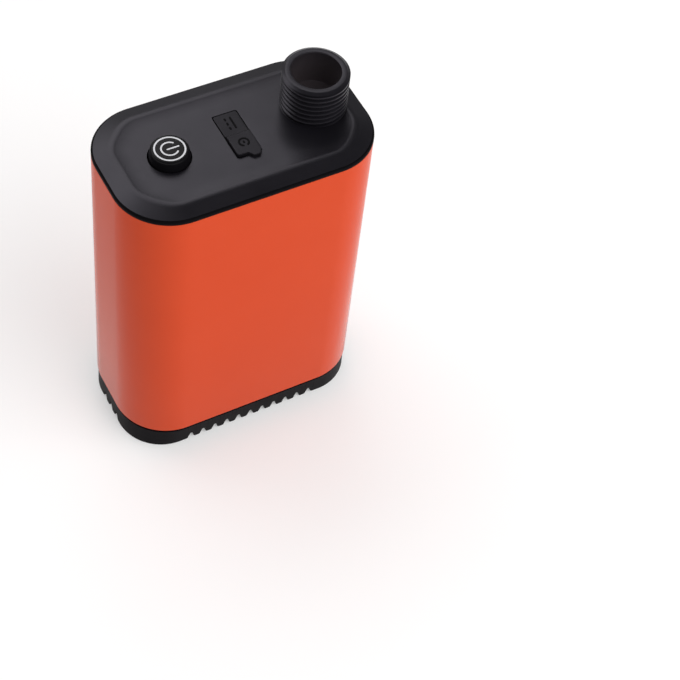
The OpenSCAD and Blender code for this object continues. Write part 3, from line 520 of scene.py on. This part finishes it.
# Black ABS at the cap's upright edge, dead matt and darkest: a darker copy that paints shade along the edge
edge_abs = moulded("black_abs_painted_edge_shade", "#09080a", "#0c0b0d", (0.55, 0.62), 0.5, 0.02, specular=0.04)
# Black ABS from a polished mould, on the button: deeper black and tighter reflections
button_abs = moulded("polished_black_abs", "#0b0a0d", "#0e0d10", (0.26, 0.32), 0.5, 0.006, specular=0.14)
# Silicone rubber: a dry matt black with hardly any gloss
cover_rubber = moulded("matt_silicone_rubber", "#0c0b0e", "#0f0e11", (0.46, 0.54), 0.3, 0.02, specular=0.4,
                       sheen="#f6f0ff")
# Raised marks on the rubber: the same silicone, worn smooth and darker
mark_rubber = moulded("smooth_silicone_rubber", "#060507", "#080709", (0.55, 0.65), 0.3, 0.01, specular=0.1)
# Pad-printed ink: pale grey, thin and matt
ink = moulded("pad_printed_ink", "#c6c6ca", "#d2d2d6", (0.5, 0.58), 0.25, 0.006, 2.0)
# Red silicone seals
seal_rubber = moulded("red_silicone_seal", "#9a3327", "#a63c2e", (0.5, 0.6), 0.4, 0.02)
# Natural acetal: milky white and slightly slick
acetal = moulded("natural_acetal", "#d3d2cb", "#deddd7", (0.3, 0.38), 0.6, 0.01)
# Vinyl insulation of the leads
vinyl = moulded("red_vinyl", "#97231d", "#a52a22", (0.35, 0.45), 0.5, 0.008)
# Shrink-wrapped cells: thin glossy blue film
film = moulded("blue_shrink_film", "#38669a", "#4472a5", (0.2, 0.3), 1.2, 0.02)
# Solder mask over glass laminate: green lacquer with a faint weave
mask = moulded("green_solder_mask", "#245a3a", "#2d6b46", (0.25, 0.35), 0.8, 0.02)


def drawn_metal(name, dark, light, rough, line_mm, depth_mm):
    """Plated metal that was rolled or turned: fine lines along X in tone, gloss and height, drawn coarser
    than real ones so that they show."""
    made, tree, shader, place = surface(name)
    stretch = add(tree, "ShaderNodeMapping", {"Vector": place, "Scale": (0.04, 1.0, 1.0)})
    lines = add(tree, "ShaderNodeTexNoise", {
        "Vector": stretch.outputs["Vector"], "Scale": per_metre(line_mm), "Detail": 3.0})
    tone = add(tree, "ShaderNodeMix", {
        "Factor": lines.outputs["Fac"], "A": linear(dark), "B": linear(light)}, data_type="RGBA")
    gloss = add(tree, "ShaderNodeMapRange", {
        "Value": lines.outputs["Fac"], "To Min": rough[0], "To Max": rough[1]})
    relief = add(tree, "ShaderNodeBump", {
        "Height": lines.outputs["Fac"], "Strength": 0.5, "Distance": depth_mm * MM})
    shader.inputs["Metallic"].default_value = 1.0
    tree.links.new(tone.outputs["Result"], shader.inputs["Base Color"])
    tree.links.new(gloss.outputs["Result"], shader.inputs["Roughness"])
    tree.links.new(relief.outputs["Normal"], shader.inputs["Normal"])
    return made


# Zinc-plated steel: bluish grey with fine drawing lines
zinc_steel = drawn_metal("zinc_plated_steel", "#a9abad", "#bfc1c3", (0.25, 0.4), 0.3, 0.01)
# Tinned brass: warm pale yellow
tinned_brass = drawn_metal("tinned_brass", "#ad9250", "#c2a862", (0.22, 0.35), 0.3, 0.01)

finishes = {
    "orange_sleeve": orange_abs,
    "black_plastic": black_abs,
    "cover_rubber": cover_rubber,
    "seal_rubber": seal_rubber,
    "white_plastic": acetal,
    "steel": zinc_steel,
    "brass": tinned_brass,
    "cell_wrap": film,
    "board": mask,
    "lead": vinyl,
}
for part in frame["record"]["subparts"]:
    solid = frame["nodes"][part["node"]]
    solid.data.materials.clear()
    solid.data.materials.append(finishes[part["material_slot"]])


# Sleeve

def sleeve_tube():
    """The tube's wall is a rectangle with its corners rounded, carried round the body."""
    wall = rounded([
        (0, sleeve_z), (0, sleeve_top), (sleeve_wall, sleeve_top), (sleeve_wall, sleeve_z)
    ], edge_round, 5)
    ring = np.vstack([wall, wall[:1]])
    made = piece("sleeve_tube", [carried(ring, *body_outline())], orange_abs)
    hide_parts("body_sleeve")


# Cap

def rim_surface(profile):
    """A profile of distances in and heights carried round the body, which reaches farther in at the
    corners: the extra grows evenly from the edge to the ridge, and over a corner as the square of the sine
    of twice its angle."""
    outline, normals = body_outline()
    bulge = corner_in * (2 * normals[:, :1] * normals[:, 1:]) ** 2
    inset = profile[None, :, 0] + bulge * np.clip(profile[None, :, 0] / rim_in, 0, 1)
    plan = outline[:, None] - normals[:, None] * inset[..., None]
    height = np.broadcast_to(profile[None, :, 1:], (*plan.shape[:2], 1))
    return np.concatenate([plan, height], axis=-1)


def cap_moulding():
    """The rim's profile goes from a round edge up a straight band to the ridge, and down a parabola to the
    floor. The ridge is a quadratic curve that touches the band and the parabola. Skirt and flat faces close
    the cap, and the lower part of its edge is a ring of its own in a darker, duller black: painted shade."""
    crease = 32.0
    outline, normals = body_outline()
    rise = ridge_z - edge_z
    depth = ridge_z - floor_z
    tilt = math.atan(rise / rim_in)
    turn_z = edge_z + edge_soft * (math.tan(tilt) - 1 / math.cos(tilt))
    t = np.linspace(0, 1, 13)[:, None]
    before = np.array([rim_in - ridge_round, ridge_z - rise * ridge_round / rim_in])
    ridge = np.array([rim_in, ridge_z + ridge_lift])
    after = np.array([rim_in + ridge_round, floor_z + depth * (1 - ridge_round / dish_w) ** 2])
    fall = np.linspace(ridge_round / dish_w, 1, 17)[1:]
    shoulder = arc((edge_soft, turn_z), edge_soft, edge_split, 90 + math.degrees(tilt), 2)
    rim = rim_surface(np.vstack([
        shoulder,
        (1 - t) ** 2 * before + 2 * t * (1 - t) * ridge + t ** 2 * after,
        np.column_stack([rim_in + dish_w * fall, floor_z + depth * (1 - fall) ** 2]),
    ]))
    seat_z = sleeve_top + edge_seat
    skirt_z = panel_z - skirt_h
    lower = [(skirt_in, panel_z), (skirt_in, skirt_z), (inner_in, skirt_z), (inner_in, seat_z)]
    under = np.column_stack([outline - normals * inner_in, np.full(len(outline), seat_z)])
    parts = [
        carried(lower, outline, normals),
        grid(np.stack([under, rim[:, 0]], axis=1)),
        grid(rim),
        filled([rim[:, -1, :2]], floor_z),
        filled([outline - normals * skirt_in], panel_z),
    ]
    made = piece("cap_moulding", parts, black_abs, smooth=crease)
    cut_out(made, cap_cutters(), crease)
    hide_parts("top_cap")
    # The edge ring in a darker matt black: painted shade along the cap's edge
    edge_low = sleeve_top + edge_gap
    edge = rim_surface(np.vstack([
        [(edge_gap, edge_low), (0, edge_low + edge_gap)],
        arc((edge_soft, turn_z), edge_soft, 180, edge_split, 8),
    ]))
    back = outline - normals * (inner_in - edge_gap)
    heel = np.column_stack([back, np.full(len(back), seat_z - edge_gap)])
    toe = np.column_stack([back, np.full(len(back), edge_low)])
    crest = edge[:, -1] - (0, 0, edge_gap)
    ring = np.concatenate([edge, np.stack([crest, heel, toe, edge[:, 0]], axis=1)], axis=1)
    piece("cap_edge", [grid(ring)], edge_abs, smooth=50.0)


def pocket_loop():
    """The cover's pocket: its rectangle with a gap all round."""
    low = np.array([anchor_low[0], flap_front]) - flap_gap
    high = anchor_high[:2] + flap_gap
    return rounded([low, (high[0], low[1]), high, (low[0], high[1])], pocket_round)


def cap_cutters():
    """Solids cut from the cap: wells turned about an axis, flared by a quarter circle where they meet the
    floor, and the pocket, whose flare is carried round its outline."""
    past = 1.0
    above, below = ridge_z + past, panel_z - past
    lip = arc((well_flare, -well_flare), well_flare, 180, 90, 4)
    well_r = button_r + button_gap
    well = np.vstack([
        [(0, below), (well_r, below)], lip + (well_r, floor_z), [(well_r + well_flare, above), (0, above)]
    ])
    seat_r, hole_r = thread_r + fit_gap, tail_r + fit_gap
    seat_z = floor_z - seat_sink
    seat = [(0, below), (hole_r, below), (hole_r, seat_z), (seat_r, seat_z), (seat_r, above), (0, above)]
    pocket = pocket_loop()
    wall = np.vstack([[(0, floor_z - pocket_depth)], lip * (-1, 1) + (0, floor_z), [(-well_flare, above)]])
    recess = [
        carried(wall, pocket, outward(pocket)),
        filled([pocket], floor_z - pocket_depth),
        filled([pocket + outward(pocket) * well_flare], above),
    ]
    stem_r = anchor_stem_r + fit_gap
    port_hole = [(0, below), (port_r, below), (port_r, floor_z), (0, floor_z)]
    stem_hole = [(0, below), (stem_r, below), (stem_r, floor_z), (0, floor_z)]
    return [
        piece("button_well", [turned(well, button)], None, None),
        piece("outlet_seat", [turned(seat, outlet)], None, None),
        piece("cover_pocket", recess, None, None),
        piece("port_hole", [turned(port_hole, port, 64)], None, None),
        piece("stem_hole", [turned(stem_hole, anchor_stem, 48)], None, None),
    ]


# Outlet

def outlet_thread(start_z, end_z, steps):
    """A right-hand thread between two heights, on a grid whose rows follow the helix: a row's height is its
    own level plus the pitch times the angle over a turn, held between the two heights. Across the rows the
    radius goes from a flat crest down a straight flank to the root, with corners softened by the mean of
    three places close together, and the depth fades out at both ends."""
    per_pitch = 24
    soften = 0.8
    spacing = thread_pitch / per_pitch
    level = np.arange(start_z - thread_pitch, end_z + spacing, spacing)
    angle = np.linspace(0, TURN, steps + 1)[:, None]
    z = np.clip(level + thread_pitch * angle / TURN, start_z, end_z)
    place = (np.arange(len(level))[:, None] + np.array([-soften, 0, soften])) / per_pitch
    off_crest = np.abs((place + 0.5) % 1 - 0.5)
    crest = np.clip((root_half - off_crest) / (root_half - crest_half), 0, 1).mean(axis=1)
    fade = np.clip((z - start_z) / thread_fade, 0, 1) * np.clip((end_z - z) / thread_fade, 0, 1)
    radius = thread_r - thread_depth * fade * (1 - crest)
    return grid(np.stack([
        outlet[0] + radius * np.cos(angle), outlet[1] + radius * np.sin(angle), z
    ], axis=-1), wrap=False)


def threaded_outlet():
    """A profile turned about the outlet's axis, with the thread between its tail and its mouth."""
    steps = 288
    start_z, end_z = floor_z + thread_start, mouth_z - thread_stop
    rim_r = thread_r - chamfer - mouth_in
    bore_z = mouth_z - bore_depth
    seat_z = tail_z + riser_seat
    foot = [(tail_r, tail_z), (tail_r, floor_z), (thread_r, floor_z), (thread_r, start_z)]
    mouth = np.vstack([
        [(thread_r, end_z)],
        arc((rim_r, mouth_z - mouth_round), mouth_round, 40, 90, 4),
        arc((bore_r + bore_round, mouth_z - bore_round), bore_round, 90, 180, 4),
        [(bore_r, bore_z + bore_fillet)],
        arc((bore_r - bore_fillet, bore_z + bore_fillet), bore_fillet, 0, -90, 4),
        arc((riser_bore_r + riser_round, bore_z - riser_round), riser_round, 90, 180, 4),
        [(riser_bore_r, seat_z), (riser_seat_r, seat_z), (riser_seat_r, tail_z), (tail_r, tail_z)],
    ])
    parts = [
        turned(foot, outlet, steps), outlet_thread(start_z, end_z, steps), turned(mouth, outlet, steps)
    ]
    made = piece("threaded_outlet", parts, outlet_abs, smooth=50.0)
    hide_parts("outlet_spigot")


# Button

def push_button():
    """A turned profile: stem, collar under the cap, drafted side and a rounded top edge. The printed ring
    and power sign are thin strokes on its top."""
    collar_top = panel_z - collar_drop
    crown = arc((button_top_r - button_round, button_top - button_round), button_round, 8, 90, 7)
    profile = np.vstack([
        [(0, stem_z), (button_stem_r, stem_z), (button_stem_r, collar_top - collar_h)],
        [(collar_r, collar_top - collar_h), (collar_r, collar_top)],
        [(button_r, collar_top), (button_r, floor_z)],
        crown,
        [(0, button_top)],
    ])
    made = piece("push_button", [turned(profile, button)], button_abs, "button")
    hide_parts("power_button")
    level, sunk = button_top + ink_t, button_top - ink_t
    near, far = ring_r - stroke_w / 2, ring_r + stroke_w / 2
    ring = rounded([(near, sunk), (far, sunk), (far, level), (near, level)], ink_t / 2, 2)
    band = turned(np.vstack([ring, ring[:1]]), button)
    piece("button_ring", [band], ink, "button")
    gap = math.radians(sign_gap)
    sweep = np.linspace(gap, TURN - gap, 60)
    curve = button + sign_r * np.stack([np.cos(sweep), np.sin(sweep)], axis=-1)
    bar = button + np.linspace((bar_from, 0), (bar_to, 0), 12)
    strokes = [stroke(curve, stroke_w), stroke(bar, stroke_w)]
    parts = [
        part for line in strokes
        for part in slab(line, sunk, lambda p: np.full(len(p), level), ink_t / 2, 5.0, 2)
    ]
    piece("button_sign", parts, ink, "button")


# Port cover

def cover_top(points):
    """Height of the cover: its fixed half lies flush, its free half stands proud, and a cosine ramp joins
    them just past the fold."""
    ramp = np.clip((fold_y - points[:, 1]) / ramp_w, 0, 1)
    step = flap_high[2] + cover_proud - anchor_high[2]
    return anchor_high[2] + step * (1 - np.cos(math.pi * ramp)) / 2


def port_cover():
    """One rubber strip with a pull tab at its front: a slab with round edges, a plug under its free half
    and a stem under its fixed half."""
    left, right = anchor_low[0], anchor_high[0]
    back, tip = anchor_high[1], flap_low[1]
    tab_left = right - tab_w
    outline = rounded([
        (left, back), (left, flap_front), (tab_left, flap_front), (tab_left + tab_slant, tip),
        (right - tab_slant, tip), (right, flap_front), (right, back)
    ], cover_corners)
    underside = floor_z - pocket_depth + cover_rest
    plug_z, pin_z = flap_low[2], anchor_low[2]
    plug = [
        (0, plug_z), (plug_r - plug_chamfer, plug_z), (plug_r, plug_z + plug_chamfer), (plug_r, underside),
        (0, underside),
    ]
    stem = [(0, pin_z), (anchor_stem_r, pin_z), (anchor_stem_r, underside), (0, underside)]
    parts = [
        *slab(divided(outline, 0.4), underside, cover_top, cover_round, 0.45),
        turned(plug, port, 48),
        turned(stem, anchor_stem, 48),
    ]
    made = piece("port_cover", parts, cover_rubber, None)
    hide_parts("charge_flap", "flap_anchor")
    folds(made)
    marks = piece("cover_marks", cover_marks(), mark_rubber, None)
    folds(marks)


def folds(made):
    """Bakes the placement of a piece of the cover into its mesh."""
    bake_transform(made)


def cover_marks():
    """Plain signs raised on the rubber: a line and three dashes for direct current, and an open ring round
    a dot for the plug. Each is a rounded stroke that follows the height of the cover."""
    line_half, dash_half, dash_pitch, apart = 2.2, 0.3, 1.9, 0.9
    plug_mark_r, plug_open, dot_half = 1.5, math.radians(30), 0.2
    sign_behind, plug_shift = 4.4, 0.2
    sign = np.array([port[0], fold_y + sign_behind])
    paths = [np.linspace(sign + (apart, line_half), sign + (apart, -line_half), 12)]
    paths += [
        np.linspace(sign + (-apart, place + dash_half), sign + (-apart, place - dash_half), 4)
        for place in (dash_pitch, 0, -dash_pitch)
    ]
    plug = port - (0, plug_shift)
    sweep = np.linspace(plug_open - math.pi, math.pi - plug_open, 40)
    paths += [
        plug + plug_mark_r * np.stack([np.sin(sweep), np.cos(sweep)], axis=-1),
        np.linspace(plug - (0, dot_half), plug + (0, dot_half), 6),
    ]
    foot = floor_z - mark_sunk
    return [
        part for path in paths
        for part in slab(stroke(path, mark_w), foot, lambda p: cover_top(p) + mark_h, mark_round, 0.5, 3)
    ]


# Base

def foot_curve(reach, count):
    """Lower edge of one side of the base, as places along the side and heights: a row of notches with
    slanting sides, whose corners are rounded, between flat ends."""
    middles = (np.arange(count) - (count - 1) / 2) * notch_pitch
    wide, narrow = notch_foot_w / 2, notch_top_w / 2
    notch = np.array([(-wide, 0), (-narrow, notch_h), (narrow, notch_h), (wide, 0)])
    teeth = (notch[None] + np.stack([middles, 0 * middles], -1)[:, None]).reshape(-1, 2)
    above, past, slight = 50.0, reach + 9.0, 0.1
    outline = np.vstack([[(-past, 0)], teeth, [(past, 0), (past, above), (-past, above)]])
    rounds = [notch_foot_round, notch_top_round, notch_top_round, notch_foot_round]
    curve = rounded(outline, [slight, *np.tile(rounds, count), slight, slight, slight], 4)
    curve = curve[(curve[:, 1] < above / 2) & (np.abs(curve[:, 0]) < reach)]
    return np.vstack([[(-reach, 0)], curve, [(reach, 0)]])


def base_ring():
    """Wall of the base as rows of points that run from the plate's underside down the inner face, round
    the foot, up the outer face, round a groove and over the lip to the plate's top. The outer face leans
    between the outline under the sleeve and a smaller foot. The foot's edges are quarter circles that
    follow the notches: each point of the lower edge is moved into the wall and across it."""
    inner = (half_w - hollow_in, half_d - hollow_in, corner_r - hollow_in)
    upper = (half_w - base_reveal, half_d - base_reveal, corner_r - base_reveal)
    lower = (half_w - base_reveal, half_d - base_reveal - foot_lean, foot_r)
    turn = np.linspace(0, TURN / 4, 6)
    rise = foot_round * (1 - np.sin(turn))
    across = foot_round * (1 - np.cos(turn))
    bevel = 0.3 * groove_edge
    groove = [
        (0, groove_z - groove_edge), (bevel, groove_z - bevel), (groove_edge, groove_z),
        (groove_in, groove_z), (groove_in, sleeve_z),
    ]
    lip = [(inner_in, sleeve_z), (inner_in, bulkhead_z), (lip_in, bulkhead_z), (lip_in, plate_top)]

    def plan(level, side, along, angle):
        """A side's place from its distance along, or a corner's from its angle."""
        quarter = side * TURN / 4
        if angle is None:
            x, y = along, np.full_like(along, -level[1 - side % 2])
            turned_x = x * math.cos(quarter) - y * math.sin(quarter)
            turned_y = x * math.sin(quarter) + y * math.cos(quarter)
            return np.stack([turned_x, turned_y], -1)
        signs = ((1, -1), (1, 1), (-1, 1), (-1, -1))[side]
        centre = np.array([signs[0] * (level[0] - level[2]), signs[1] * (level[1] - level[2])])
        return centre + level[2] * np.stack([np.cos(angle), np.sin(angle)], -1)

    def leaning(share, side, along, angle):
        """The outer face's place, which leans from the foot to the outline under the sleeve."""
        return plan(lower, side, along, angle) * (1 - share) + plan(upper, side, along, angle) * share

    def segment(side, edge, angle):
        """Rows of points over one side or one corner of the ring."""
        steps = np.gradient(edge, axis=0)
        steps /= np.linalg.norm(steps, axis=1, keepdims=True)
        into = np.stack([-steps[:, 1], steps[:, 0]], -1)
        places = edge[:, None] + into[:, None] * rise[None, :, None]
        along, height = places[..., 0], places[..., 1]
        swing = None if angle is None else np.broadcast_to(angle[:, None], along.shape)
        outer = leaning((height / sleeve_z)[..., None], side, along, swing)
        within = plan(inner, side, along, swing)
        toward = within - outer
        toward /= np.linalg.norm(toward, axis=-1, keepdims=True)
        outer = np.concatenate([outer + toward * across[None, :, None], height[..., None]], -1)
        within = np.concatenate([within - toward * across[None, :, None], height[..., None]], -1)
        first = within[:, 0] * (1, 1, 0) + (0, 0, plate_z)
        shoulder = leaning(groove_z / sleeve_z, side, along[:, 0], angle)
        over = [
            np.column_stack([shoulder + toward[:, 0] * inset, np.full(len(edge), z)])
            for inset, z in groove
        ]
        rest = [
            np.column_stack([
                plan((half_w - inset, half_d - inset, corner_r - inset), side, along[:, 0], angle),
                np.full(len(edge), z)])
            for inset, z in lip
        ]
        return np.concatenate([first[:, None], within, outer[:, ::-1], np.stack(over + rest, 1)], axis=1)

    reach = (half_w - corner_r, half_d - corner_r)
    counts = (notches_long, notches_end)
    per_corner = 24
    flat = np.stack([np.arange(per_corner, dtype=float), np.zeros(per_corner)], -1)
    rows = []
    for side in range(4):
        rows.append(segment(side, foot_curve(reach[side % 2], counts[side % 2]), None))
        angle = np.linspace(-TURN / 4, 0, per_corner) + side * TURN / 4
        rows.append(segment(side, flat, angle))
    return np.concatenate(rows)


def notched_base():
    """The ring's wall, and a plate across it with a grille of slots under the intake and holes for the
    screws."""
    ring = base_ring()
    offsets = (np.arange(slots) - (slots - 1) / 2) * slot_pitch
    spans = np.sqrt(grille_r ** 2 - (np.abs(offsets) + slot_w / 2) ** 2) - slot_clear
    grille = [
        stroke(intake + np.linspace((x, -span), (x, span), 3), slot_w)
        for x, span in zip(offsets, spans)
    ]
    screws = [circle((sx * screw_x, sy * screw_y), screw_hole_r, 32) for sx in (-1, 1) for sy in (-1, 1)]
    holes = grille + screws
    parts = [
        grid(ring),
        filled([ring[:, 0, :2], *holes], plate_z),
        filled([ring[:, -1, :2], *holes], plate_top),
        *[carried([(0, plate_z), (0, plate_top)], hole, outward(hole)) for hole in holes],
    ]
    made = piece("notched_base", parts, base_abs, smooth=35.0)
    large_faces_lead(made)
    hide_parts("base_shell")


sleeve_tube()
cap_moulding()
threaded_outlet()
push_button()
port_cover()
notched_base()


# Stage, light and camera

def studio_floor():
    """A white floor that mirrors and transmits as white, and still takes the object's shadow."""
    reach, grey, own_light = 3.0, 0.7, 0.28
    corners = [(-reach, -reach, 0), (reach, -reach, 0), (reach, reach, 0), (-reach, reach, 0)]
    mesh = bpy.data.meshes.new("floor")
    mesh.from_pydata(corners, [], [(0, 1, 2, 3)])
    made = bpy.data.objects.new("floor", mesh)
    bpy.context.scene.collection.objects.link(made)
    paper = bpy.data.materials.new("white_paper")
    paper.use_nodes = True
    tree = paper.node_tree
    tree.nodes.clear()
    path = add(tree, "ShaderNodeLightPath").outputs
    direct = add(tree, "ShaderNodeMath", {0: path["Is Camera Ray"], 1: path["Is Transmission Ray"]},
                 operation="MAXIMUM")
    seen = add(tree, "ShaderNodeMath", {0: direct.outputs[0], 1: path["Is Glossy Ray"]},
               operation="MAXIMUM")
    level = add(tree, "ShaderNodeMath", {0: seen.outputs[0], 1: own_light}, operation="MULTIPLY")
    lit = add(tree, "ShaderNodeBsdfDiffuse", {"Color": (grey, grey, grey, 1.0)})
    glow = add(tree, "ShaderNodeEmission", {"Color": (1, 1, 1, 1), "Strength": level.outputs[0]})
    both = add(tree, "ShaderNodeAddShader", {0: lit.outputs[0], 1: glow.outputs[0]})
    add(tree, "ShaderNodeOutputMaterial", {"Surface": both.outputs[0]})
    mesh.materials.append(paper)


def studio_world():
    """White to the camera. Reflections see a bright surround that fades upwards into a dark ceiling, and
    towards the back and the right, and diffuse light is an even fill. Each fade has its axis, where it
    starts and ends along that axis, and the level that is left."""
    fill = 0.52
    fades = [("Z", 0.2, 0.75, 0.09), ("Y", 0.45, 0.8, 0.3), ("X", 0.3, 0.9, 0.3)]
    world = bpy.data.worlds.new("studio")
    bpy.context.scene.world = world
    world.use_nodes = True
    tree = world.node_tree
    tree.nodes.clear()
    direction = add(tree, "ShaderNodeTexCoord").outputs["Generated"]
    parts = add(tree, "ShaderNodeSeparateXYZ", {"Vector": direction})
    surround = 1.0
    for axis, start, end, least in fades:
        fade = add(tree, "ShaderNodeMapRange", {
            "Value": parts.outputs[axis], "From Min": start, "From Max": end,
            "To Min": 1.0, "To Max": least}, interpolation_type="SMOOTHSTEP")
        product = add(tree, "ShaderNodeMath", {0: surround, 1: fade.outputs["Result"]},
                      operation="MULTIPLY")
        surround = product.outputs[0]
    path = add(tree, "ShaderNodeLightPath").outputs
    mirrored = add(tree, "ShaderNodeMix", {"Factor": path["Is Glossy Ray"], "A": fill, "B": surround})
    direct = add(tree, "ShaderNodeMath", {0: path["Is Camera Ray"], 1: path["Is Transmission Ray"]},
                 operation="MAXIMUM")
    level = add(tree, "ShaderNodeMix", {
        "Factor": direct.outputs[0], "A": mirrored.outputs["Result"], "B": 1.0})
    sky = add(tree, "ShaderNodeBackground", {"Color": (1, 1, 1, 1), "Strength": level.outputs["Result"]})
    add(tree, "ShaderNodeOutputWorld", {"Surface": sky.outputs[0]})


def soft_lamp(name, place, aim, size, watts, mirrored=True):
    """A soft box, wide and high, that faces a point. One that isn't mirrored only gives diffuse light."""
    lamp = bpy.data.lights.new(name, "AREA")
    lamp.shape = "RECTANGLE"
    lamp.size, lamp.size_y = size
    lamp.energy = watts
    made = bpy.data.objects.new(name, lamp)
    made.visible_glossy = mirrored
    made.location = place
    made.rotation_mode = "QUATERNION"
    made.rotation_quaternion = (Vector(aim) - Vector(place)).to_track_quat("-Z", "Y")
    bpy.context.scene.collection.objects.link(made)


def photo_camera():
    """The photograph's view: place, aim and roll fitted to the outlines in the picture."""
    place = Vector((-185.39, -342.72, 532.21)) * MM
    aim = Vector((17.57, -45.45, 60.8)) * MM
    roll = math.radians(7.95)
    lens = bpy.data.cameras.new("camera")
    lens.sensor_width = 36.0
    lens.lens = 98.87
    lens.clip_start = 0.01
    made = bpy.data.objects.new("camera", lens)
    made.location = place
    made.rotation_mode = "QUATERNION"
    made.rotation_quaternion = (aim - place).to_track_quat("-Z", "Y") @ Quaternion((0, 0, 1), roll)
    bpy.context.scene.collection.objects.link(made)
    bpy.context.scene.camera = made


studio_floor()
studio_world()
soft_lamp("key", (0.55, -0.85, 0.75), (0, 0, 0.05), (1.4, 1.4), 12.8, False)
soft_lamp("back_top", (-0.12, 0.70, 0.95), (0, 0, 0.1), (1.25, 0.72), 5.2)
photo_camera()
bpy.context.scene.view_settings.view_transform = "Standard"
